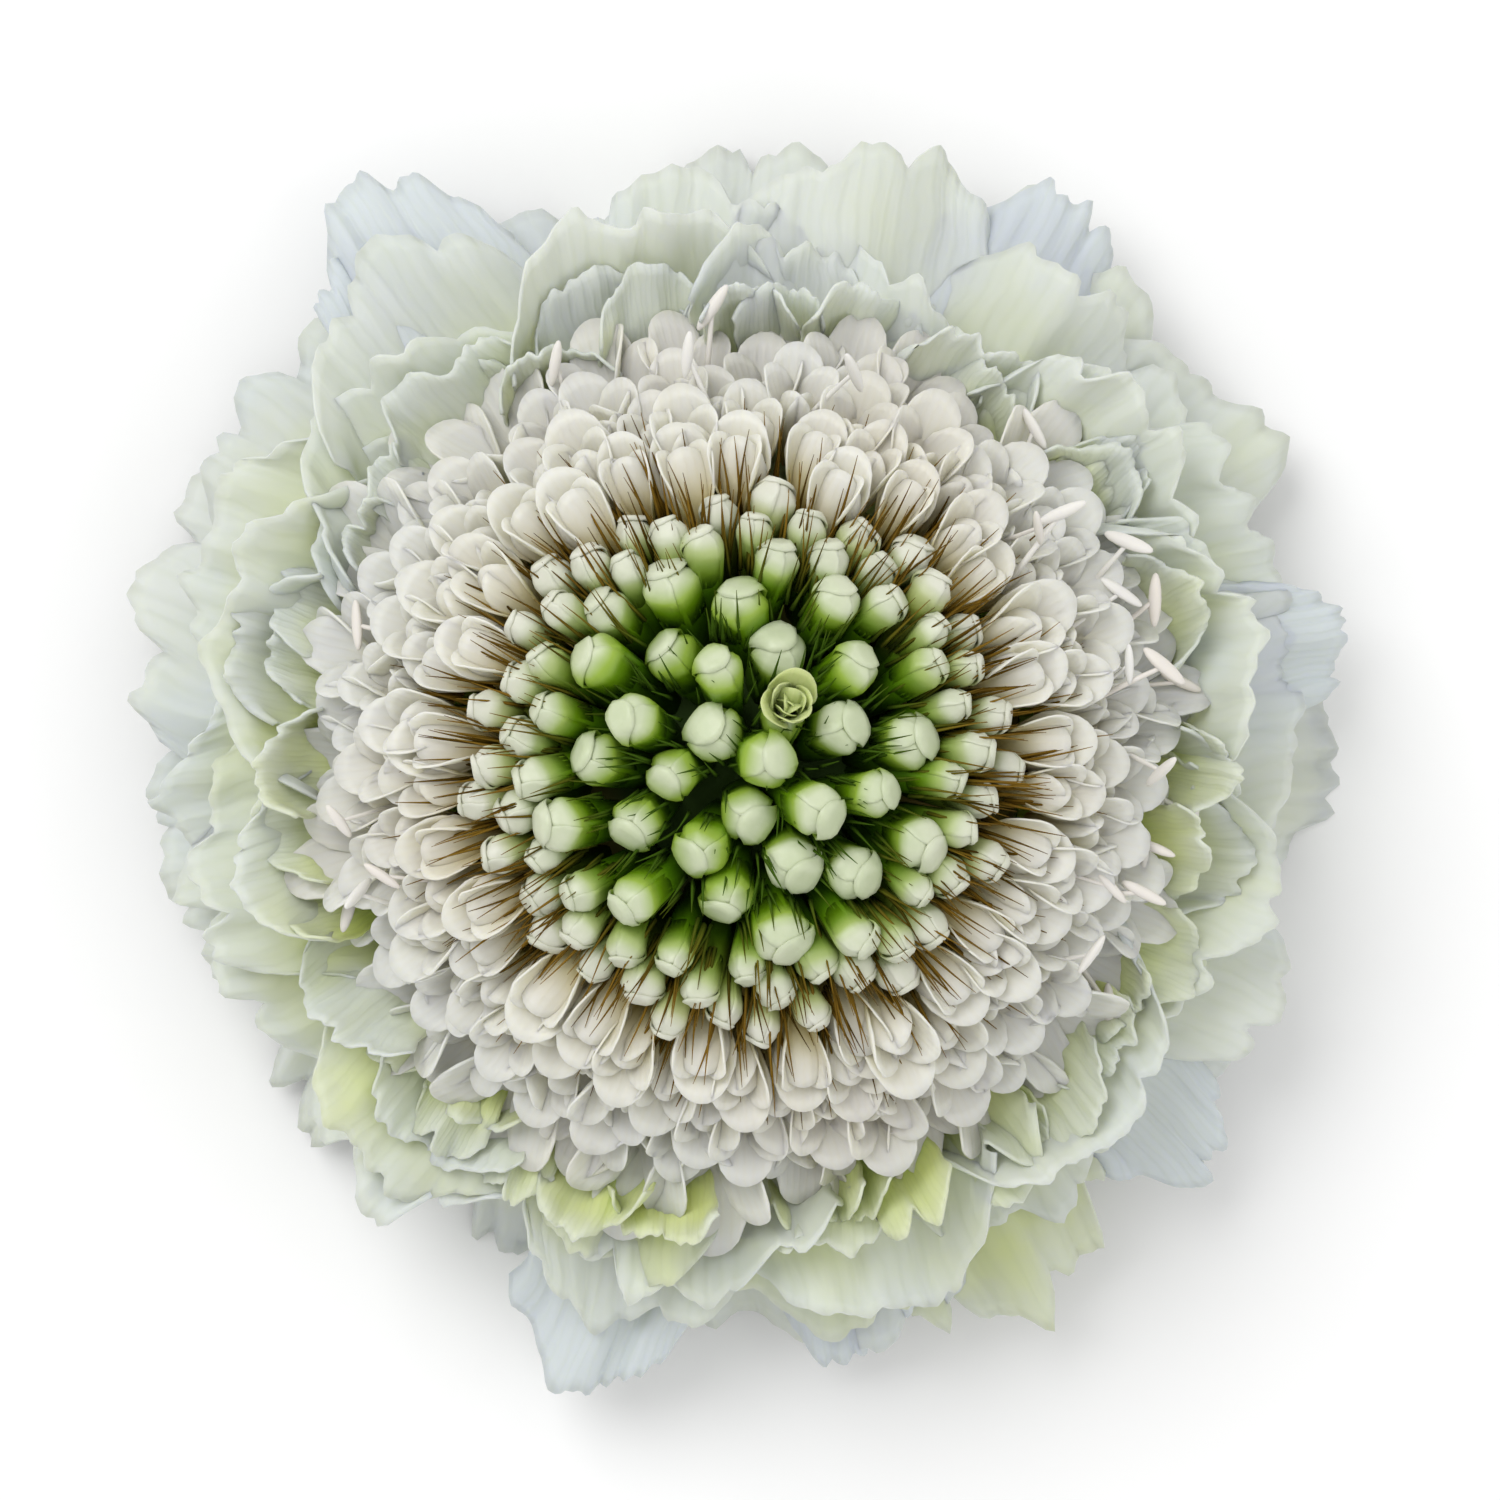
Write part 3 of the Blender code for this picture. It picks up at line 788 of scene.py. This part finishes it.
def rowRuffles(look):  # the ruffles of a row at an angle round the head, so that neighbours wave together
    def ruffles(angle):
        size = look["ruffle"] * mm
        height = -look["dip"] * mm * math.cos(3 * angle)
        for (share, order), phase in zip(rayFolds["waves"], look["phases"]):
            height += share * size * math.sin(order * angle + phase)
        return height

    return ruffles


def makeRayPetal(name, look, turn, reach, halfWidth, draws):
    ruffles = rowRuffles(look)
    root = look["reach"] * mm - look["length"] * mm
    length = reach * mm - root
    halfWidth *= mm
    low, middle, high = (height * mm for height in look["heights"])
    high += draws.uniform(-0.5, 0.5) * (0.4 + 0.6 * look["mixed"]) * mm
    own = look["own"] * draws.uniform(0.6, 1.3) * mm
    waves = draws.uniform(1.2, 2.6)
    phase = draws.uniform(0, math.tau)
    curl = look["curl"] * draws.uniform(-0.5, 1.5) * mm
    skew = draws.uniform(-0.12, 0.12)
    seed = draws.uniform(0, 90)
    lobes = 1
    if halfWidth > 6 * mm:
        lobes = draws.choice((2, 3, 3, 4))
    elif name != "longRays":
        lobes = draws.choice((1, 1, 2))
    teeth = draws.choice((7, 8, 9)) * halfWidth / (7.6 * mm)
    cleft = draws.uniform(0.05, 0.13)
    pleats = halfWidth / rayFolds["pleatWidth"]
    grid = (46, 22) if halfWidth > 3 * mm else (34, 18)
    petal = newSheet(name, *grid)

    def place(along, across):
        margin = along**2.2
        wander = across + 0.26 * noise.noise(Vector((seed, across * 2.4, 4)))
        lobe = abs(math.sin(0.5 * math.pi * lobes * (wander + 1))) ** 0.6
        tooth = abs(math.sin(0.5 * math.pi * teeth * (wander + 1))) ** 0.75
        ragged = 0.5 + noise.noise(Vector((seed + 5, across * 3, 2)))
        edge = cleft * (lobe - 0.8) + 0.045 * ragged * (tooth - 0.5)
        edge += 0.07 * noise.noise(Vector((seed, across * 2, 0)))
        edge += 0.05 * noise.noise(Vector((seed, across * 7, 9)))
        rounding = 0.8 * (1 - math.sqrt(1 - 0.97 * across * across)) * halfWidth / length
        distance = root + length * along * (1 + edge * along**4 - rounding * along)
        fan = 0.24 + 0.76 * math.sin(0.5 * math.pi * min(1.0, along / 0.78)) ** 1.2
        fringe = 1 + 0.03 * math.sin(along * 26 + seed) * along
        side = halfWidth * fan * across * fringe + skew * length * along * along
        angle = turn + side / max(distance, 9 * mm)
        rise = (1 - along) ** 2 * low + 2 * along * (1 - along) * middle + along * along * high
        rise += ruffles(angle) * margin
        rise += own * math.sin(math.pi * waves * across + phase) * margin
        rise += rayFolds["shingle"] * across * min(1.0, 1.6 * along)
        rise += curl * smooth(along, 0.66, 1.0)
        rise += rayFolds["crumple"] * noise.noise(Vector((across * 2.2 + seed, along * 3, 1))) * along
        broad = noise.noise(Vector((across * pleats + seed, along * 1.4, 7)))
        fine = noise.noise(Vector((across * 2.6 * pleats + seed, along * 3, 8)))
        rise += rayFolds["pleat"] * broad * along**1.6
        rise += rayFolds["crease"] * fine * along**2
        distance += 0.45 * ruffles(angle + 0.3) * margin - 0.25 * curl * smooth(along, 0.8, 1.0)
        if look["outer"]:
            distance += skirtReach(angle) * along**2.5
        rise = max(rise, rayFolds["lowest"])
        return Vector((distance * math.cos(angle), distance * math.sin(angle), rise))

    shapeSheet(petal, place)
    giveThickness(petal, rayFolds["thickness"])
    tone = look["green"] + (1 - look["green"]) * draws.random() * 0.66
    tone *= 1 - 0.5 * math.sin(turn)  # the lower half of the skirt is the greenest
    setTone(petal, 0.0 if name == "longRays" else min(1.0, tone))
    return petal


def makeRayMaterial():
    material, tree, shader = newMaterial("rayPetal", 0.5, 0.45, 0.3)
    along, across = petalPlace(tree)
    tone = attribute(tree, "tone")
    cloud = mottle(tree, Scale=170.0)
    reach = timesPlus(tree, cloud, 0.2, mathNode(tree, "ADD", along, -0.02))
    reach = timesPlus(tree, tone, -0.38, reach)
    petal = ramp(tree, reach, [
        (0.12, rayColours["fold"]),
        (0.36, rayColours["base"]),
        (0.62, rayColours["middle"]),
        (0.88, rayColours["rim"]),
    ])
    pale = mottle(tree, Scale=55.0, Low=0.46, High=0.6)
    pale = times(tree, pale, timesPlus(tree, tone, -0.6, 0.55))
    petal = mixColour(tree, pale, petal, rayColours["white"])
    cool = mottle(tree, Scale=90.0, Low=0.5, High=0.68)
    cool = times(tree, cool, timesPlus(tree, tone, -0.7, 0.72))
    chill = timesPlus(tree, tone, -8.0, 1.0)  # a few petals are bluish all over
    cool = times(tree, mathNode(tree, "MAXIMUM", cool, chill), along)
    petal = mixColour(tree, cool, petal, rayColours["blue"])
    veins = useGroup(
        tree, "veins", "Vein", Along=along, Across=across, Count=19.0, Sharpness=5.0, Wander=1.4,
    )
    petal = mixColour(tree, times(tree, veins, 0.08), petal, rayColours["vein"])
    feed(tree, shader, {"Base Color": petal})
    addBump(tree, shader, veins, 0.22, 0.1 * mm)
    return material


def makeRays(material):
    for name, look in rayLooks.items():
        draws = random.Random(look["seed"])
        petals = []
        for number in range(look["count"]):
            mixed = look["mixed"]
            turn = math.tau * (number + 0.5 * look["seed"]) / look["count"]
            turn += 0.08 * (0.5 + 0.5 * mixed) * draws.uniform(-1, 1)
            reach = look["reach"] + look["length"] * draws.uniform(-0.07, 0.05) * (0.4 + 0.6 * mixed)
            halfWidth = look["halfWidth"] * (1 + 0.12 * (0.5 + 0.5 * mixed) * draws.uniform(-1, 1.2))
            if name == "longRays":
                turn, reach, halfWidth = longPetals[number]
                turn = math.radians(turn)
            petals.append(makeRayPetal(name, look, turn, reach, halfWidth, draws))
        finishPiece(joinPieces(name, petals), material, "ray_white", "ray_florets")


# Bristles that stand between the florets

bristleLook = {
    "sides": 4,
    "radius": 0.115 * mm,
    "tipShare": 0.12,  # the tip's radius, as a share of the foot's
    "length": 3.6 * mm,
    "bend": 1.5 * mm,
    "joints": (0.3, 0.5, 0.7, 0.85),  # where it bends, as shares of its length
    "last": 66.0,  # no bristles past this direction, in degrees from straight up
    "counts": ((37, 9), (51, 7), (58, 5), (90, 3)),  # up to each direction, how many round a floret
    "allRound": 24.0,  # up to here they stand all round a bud, and then on its side to the middle
    "youngUntil": 36.0,
    "young": {"clear": 1.65 * mm, "reach": (0.45, 0.85), "bend": (0.1, 0.5)},
    "old": {"clear": 1.2 * mm, "reach": (0.75, 1.1), "bend": (0.7, 1.3)},
}
# The bristles are darker deeper in the head: their own dark brown, deepened by painted shade below the dome
bristleColours = {
    "foot": colour(44, 36, 2),
    "middle": colour(74, 54, 4),
    "end": colour(84, 62, 14),
    "pale": colour(138, 106, 34),
    "green": colour(66, 94, 20),
}


def makeBristle():
    radius, length = bristleLook["radius"], bristleLook["length"]
    bristle = newShape(
        bpy.ops.mesh.primitive_cone_add, vertices=bristleLook["sides"], radius1=radius,
        radius2=bristleLook["tipShare"] * radius, depth=length, location=(0, 0, 0.5 * length),
    )
    bpy.ops.object.mode_set(mode="EDIT")
    for height in bristleLook["joints"]:
        bpy.ops.mesh.select_all(action="SELECT")
        bpy.ops.mesh.bisect(plane_co=(0, 0, height * length), plane_no=(0, 0, 1))
    bpy.ops.object.mode_set(mode="OBJECT")
    bristle.data.transform(bristle.matrix_world)
    bristle.matrix_world = Matrix.Identity(4)
    for vertex in bristle.data.vertices:
        share = vertex.co.z / length
        vertex.co.x += bristleLook["bend"] * share * share
    return bristle


def makeBristleMaterial():
    material, tree, shader = newMaterial("bristle", 0.7, 0.0, 0.08)
    # Darkest deep in the head, for the bristles' own brown and for painted shade below the dome
    shade = ramp(tree, useGroup(tree, "headPlace", "Depth"), [
        (0.82, bristleColours["foot"]),
        (0.96, bristleColours["middle"]),
        (1.05, bristleColours["end"]),
    ])
    paler = times(tree, attribute(tree, "tone"), 0.85)
    shade = mixColour(tree, paler, shade, bristleColours["pale"])
    outward = fade(tree, useGroup(tree, "headPlace", "Radius"), 7.0, 12.0)
    shade = mixColour(tree, outward, bristleColours["green"], shade)
    feed(tree, shader, {"Base Color": shade})
    return material


def makeBristles(material):
    draws = random.Random(23)
    shape = makeBristle()
    stamped = []
    for band, tilt, turn in headSpots():
        degrees = math.degrees(tilt)
        if degrees > bristleLook["last"]:
            break
        count = next(many for until, many in bristleLook["counts"] if degrees < until)
        kind = bristleLook["young" if degrees < bristleLook["youngUntil"] else "old"]
        for _ in range(count):
            side = draws.uniform(*((0, math.tau) if degrees < bristleLook["allRound"] else (1.7, 4.6)))
            far = kind["clear"] * draws.uniform(0.9, 1.3)  # from the bud's axis
            sunk = -3.0 * mm + draws.uniform(-0.2, 0.5) * mm
            foot = Vector((far * math.cos(side), far * math.sin(side), sunk))
            reach = draws.uniform(*kind["reach"])
            spin = Matrix.Rotation(draws.uniform(-0.35, 0.35), 4, "Z")
            spin = spin @ Matrix.Rotation(draws.uniform(-0.1, 0.2), 4, "Y")
            place = headFrame(tilt, turn, domeDistance(tilt)) @ Matrix.Translation(foot) @ spin
            grow = Matrix.Diagonal((draws.uniform(*kind["bend"]), 1, reach, 1))
            stamped.append(stampCopy(shape, place @ grow, draws.random()))
    removePieces([shape])
    finishPiece(joinPieces("bristles", stamped), material, "bud_green")


# Stamens

stamenLook = {
    "first": 40,  # none stand on the florets before this one
    "count": 20,
    "side": 0.2,  # more of them stand on this side of the head, a direction in radians
    "sideCosine": 0.8,
    "sideCount": 11,
    "sink": 1.8 * mm,
    "sides": 8,
    "parts": 8,
    "radius": 0.16 * mm,
    "length": 4.6 * mm,
    "antherLength": 2.4 * mm,
    "bends": ((0.4 * mm, 0.5), (1.0 * mm, 1.2), (-0.6 * mm, -0.9)),  # the filament's, and the anther's swing
}


def makeStamen(bend, swing):
    length = stamenLook["length"]
    filament = newShape(
        bpy.ops.mesh.primitive_circle_add,
        vertices=stamenLook["sides"], radius=stamenLook["radius"], fill_type="NGON",
    )
    bpy.ops.object.mode_set(mode="EDIT")
    bpy.ops.mesh.select_all(action="SELECT")
    for _ in range(stamenLook["parts"]):
        bpy.ops.mesh.extrude_region_move(
            TRANSFORM_OT_translate={"value": (0, 0, length / stamenLook["parts"])},
        )
        bpy.ops.transform.resize(value=(0.95, 0.95, 1))
    bpy.ops.object.mode_set(mode="OBJECT")
    anther = newShape(
        bpy.ops.mesh.primitive_uv_sphere_add,
        segments=10, ring_count=8, radius=0.5 * stamenLook["antherLength"], location=(0, 0, length),
    )
    rod = Matrix.Rotation(swing, 4, "X") @ Matrix.Diagonal((0.22, 0.24, 1, 1))
    anther.data.transform(Matrix.Translation((0, 0, length)) @ rod)
    anther.matrix_world = Matrix.Identity(4)
    stamen = joinPieces("stamen", [filament, anther])
    for vertex in stamen.data.vertices:
        share = vertex.co.z / length
        vertex.co.x += bend * share * share
    return stamen


def makeStamens(material):
    draws = random.Random(41)
    shapes = [makeStamen(bend, swing) for bend, swing in stamenLook["bends"]]
    stamped = []
    spots = [spot for spot in headSpots() if spot[0] == "floret"][stamenLook["first"]:]
    right = [spot for spot in spots if math.cos(spot[2] - stamenLook["side"]) > stamenLook["sideCosine"]]
    chosen = draws.sample(spots, stamenLook["count"]) + draws.sample(right, stamenLook["sideCount"])
    for _, tilt, turn in chosen:
        place = headFrame(tilt, turn, domeDistance(tilt) - stamenLook["sink"])
        lean = Matrix.Rotation(draws.uniform(-0.5, 1.0), 4, "Y")
        lean = lean @ Matrix.Rotation(draws.uniform(-0.6, 0.6), 4, "X")
        shape = draws.choice(shapes)
        size = Matrix.Scale(draws.uniform(0.8, 1.15), 4)
        stamped.append(stampCopy(shape, place @ lean @ size, draws.random()))
    removePieces(shapes)
    finishPiece(joinPieces("stamens", stamped), material, "floret_cream")


def makeStamenMaterial():
    material, tree, shader = newMaterial("stamen", 0.5, 0.1, 0.4)
    shade = mixColour(tree, attribute(tree, "tone"), colour(230, 229, 224), colour(226, 219, 210))
    feed(tree, shader, {"Base Color": shade})
    return material


# The green parts under the head

bractLook = {
    # Each row: count, reach and tip height in millimetres, direction of the first in radians
    "rows": ((6, 16.3, 2.4, 0.0), (6, 13.3, 1.3, 0.5)),
    "halfWidth": 1.7 * mm,
    "root": 4.4 * mm,
    "rootHeight": 7.8,
    "rowDrop": 0.6,
    "thickness": 0.28 * mm,
    "lowest": 0.4 * mm,
    "collarRadius": 5.1 * mm,
    "collarWidth": 0.75 * mm,
    "collarHeight": 7.5 * mm,
}
bractColours = {
    "dark": colour(98, 124, 52),
    "light": colour(122, 146, 70),
    "vein": colour(160, 178, 104),
    "speckle": colour(84, 106, 42),
}


def makeBract(number, reach, tipHeight, rootHeight, draws):
    length = reach * mm - bractLook["root"]
    droop = draws.uniform(0.9, 1.1)
    bract = newSheet("bract", 10, 22)

    def place(along, across):
        width = bractLook["halfWidth"] * (0.55 + 1.5 * along * (1 - along)) * (1 - along**3.2)
        height = rootHeight + (tipHeight * mm - rootHeight) * along * along * droop
        height += 0.5 * mm * across * across * (1 - along) - 0.18 * mm * (1 - abs(across)) ** 3
        height += 0.25 * mm * noise.noise(Vector((number * 3.3, along * 3, across)))
        return Vector((bractLook["root"] + length * along, width * across, max(height, bractLook["lowest"])))

    shapeSheet(bract, place)
    giveThickness(bract, bractLook["thickness"])
    return bract


def makeBracts(material):
    draws = random.Random(31)
    stamped = []
    for row, (count, reach, tipHeight, first) in enumerate(bractLook["rows"]):
        for number in range(count):
            turn = first + math.tau * number / count + draws.uniform(-0.06, 0.06)
            rowReach = reach * draws.uniform(0.93, 1.0)
            rootHeight = (bractLook["rootHeight"] - bractLook["rowDrop"] * row) * mm
            bract = makeBract(number + 10 * row, rowReach, tipHeight, rootHeight, draws)
            bract.data.transform(Matrix.Rotation(turn, 4, "Z"))
            setTone(bract, draws.random())
            stamped.append(bract)
    collarPlace = Vector((0, 0, bractLook["collarHeight"]))
    collar = newShape(
        bpy.ops.mesh.primitive_torus_add, major_segments=48, minor_segments=12,
        major_radius=bractLook["collarRadius"], minor_radius=bractLook["collarWidth"], location=collarPlace,
    )
    collar.data.transform(Matrix.Translation(collarPlace))
    collar.matrix_world = Matrix.Identity(4)
    setTone(collar, 0.5)
    stamped.append(collar)
    finishPiece(joinPieces("involucre", stamped), material, "bract_green", "involucre_bracts")


def makeBractMaterial():
    material, tree, shader = newMaterial("bractLeaf", 0.55, 0.05, 0.35)
    along, across = petalPlace(tree)
    veins = useGroup(
        tree, "veins", "Vein", Along=along, Across=across, Count=5.0, Sharpness=6.0, Wander=0.4,
    )
    leaf = mixColour(tree, attribute(tree, "tone"), bractColours["dark"], bractColours["light"])
    leaf = mixColour(tree, times(tree, veins, 0.5), leaf, bractColours["vein"])
    speckle = mottle(tree, Scale=700.0)
    leaf = mixColour(tree, times(tree, speckle, 0.25), leaf, bractColours["speckle"])
    feed(tree, shader, {"Base Color": leaf})
    addBump(tree, shader, veins, 0.4, 0.08 * mm)
    return material


stemLook = {
    "sides": 48,
    "ridges": 8,
    "ridgeDepth": 0.07,
    "rind": 0.35 * mm,  # round the paler pith in the cut end
    # Height and radius in millimetres, from the cut end up
    "profile": (
        (0, 1.40), (0.12, 1.5), (1.5, 1.5), (3.0, 1.52), (4.2, 1.62), (5.0, 2.1), (5.7, 2.9), (6.5, 3.8),
        (7.5, 4.0), (11.5, 4.0), (13.0, 3.6), (14.3, 2.4), (14.9, 0.6),
    ),
}
stemColours = {
    "cut": colour(196, 206, 150),
    "low": colour(120, 142, 72),
    "middle": colour(108, 134, 62),
    "high": colour(136, 158, 84),
    "streak": colour(92, 112, 50),
}


def makeStem(material):
    radius = stemLook["profile"][0][1]
    stem = newShape(
        bpy.ops.mesh.primitive_circle_add, vertices=stemLook["sides"], radius=radius * mm, fill_type="NGON",
    )
    bpy.ops.object.mode_set(mode="EDIT")
    bpy.ops.mesh.select_all(action="SELECT")
    bpy.ops.mesh.inset(thickness=stemLook["rind"])
    bpy.ops.mesh.select_all(action="SELECT")
    bpy.ops.mesh.region_to_loop()
    height = 0.0
    for nextHeight, nextRadius in stemLook["profile"][1:]:
        climb = (0, 0, (nextHeight - height) * mm)
        bpy.ops.mesh.extrude_region_move(TRANSFORM_OT_translate={"value": climb})
        bpy.ops.transform.resize(value=(nextRadius / radius, nextRadius / radius, 1))
        height, radius = nextHeight, nextRadius
    bpy.ops.mesh.edge_face_add()
    bpy.ops.mesh.select_all(action="SELECT")
    bpy.ops.mesh.normals_make_consistent(inside=False)
    bpy.ops.object.mode_set(mode="OBJECT")
    for vertex in stem.data.vertices:
        angle = math.atan2(vertex.co.y, vertex.co.x)
        below = smooth(vertex.co.z, 7 * mm, 4 * mm)  # the receptacle above is plain
        ridge = 1 + stemLook["ridgeDepth"] * math.cos(stemLook["ridges"] * angle) * below
        vertex.co.x *= ridge
        vertex.co.y *= ridge
    setTone(stem, 0.4)
    finishPiece(joinPieces("stemEnd", [stem]), material, "stem_green", "stem")


def makeStemMaterial():
    material, tree, shader = newMaterial("stemSkin", 0.5, 0.05, 0.4)
    _, _, rise = splitPlace(tree, tree.nodes.new("ShaderNodeTexCoord").outputs["Object"])
    height = times(tree, rise, 1 / (8 * mm))
    skin = ramp(tree, height, [
        (0.0, stemColours["cut"]),
        (0.03, stemColours["low"]),
        (0.6, stemColours["middle"]),
        (1.0, stemColours["high"]),
    ])
    streak = mottle(tree, Scale=1100.0)
    skin = mixColour(tree, times(tree, streak, 0.3), skin, stemColours["streak"])
    feed(tree, shader, {"Base Color": skin})
    addBump(tree, shader, streak, 0.2, 0.06 * mm)
    return material


# Floor, light and camera

studio = {
    "floor": colour(250, 250, 250),
    "world": 0.72,
    "key": {"place": (-0.22, 0.24, 0.45), "size": 0.4, "power": 1.45},
    "fill": {"place": (0.34, -0.16, 0.30), "size": 0.5, "power": 0.35},
    "aim": (0, 0, 0.012),
}
view = {
    "lens": 120.0,
    "frameWidth": 77.6 * mm,  # what the picture's width spans at the skirt
    "skirtHeight": 8.0 * mm,
    "centre": (0.26 * mm, 0.62 * mm),  # the middle of the picture, seen from above
}


def addSoftbox(name, look):
    lamp = bpy.data.lights.new(name, "AREA")
    lamp.shape = "DISK"
    lamp.size = look["size"]
    lamp.energy = look["power"]
    box = bpy.data.objects.new(name, lamp)
    box.location = look["place"]
    aim = Vector(studio["aim"]) - Vector(look["place"])
    box.rotation_euler = aim.to_track_quat("-Z", "Y").to_euler()
    bpy.context.scene.collection.objects.link(box)


def makeStudio():
    floor = newShape(bpy.ops.mesh.primitive_plane_add, size=4)
    floor.name = "floor"
    paint, tree, shader = newMaterial("floorPaint", 0.9, 0.0, 0.5)
    feed(tree, shader, {"Base Color": studio["floor"]})
    floor.data.materials.append(paint)
    world = bpy.data.worlds.new("studioLight")
    world.use_nodes = True
    background = world.node_tree.nodes["Background"]
    feed(world.node_tree, background, {"Color": (1, 1, 1, 1), "Strength": studio["world"]})
    bpy.context.scene.world = world
    addSoftbox("keyLight", studio["key"])
    addSoftbox("fillLight", studio["fill"])
    lens = bpy.data.cameras.new("camera")
    lens.lens = view["lens"]
    lens.clip_start = 0.01
    camera = bpy.data.objects.new("camera", lens)
    distance = view["frameWidth"] * view["lens"] / lens.sensor_width
    camera.location = (*view["centre"], view["skirtHeight"] + distance)
    bpy.context.scene.collection.objects.link(camera)
    bpy.context.scene.camera = camera
    bpy.context.scene.view_settings.view_transform = "Standard"


makeStudio()
print("studio ready")
makeBuds(makeBudMaterial())
makeBed(makeBedMaterial())
makeFlorets(makeFloretMaterial())
makeRays(makeRayMaterial())
makeBristles(makeBristleMaterial())
makeStamens(makeStamenMaterial())
makeBracts(makeBractMaterial())
makeStem(makeStemMaterial())
print("flower dressed")
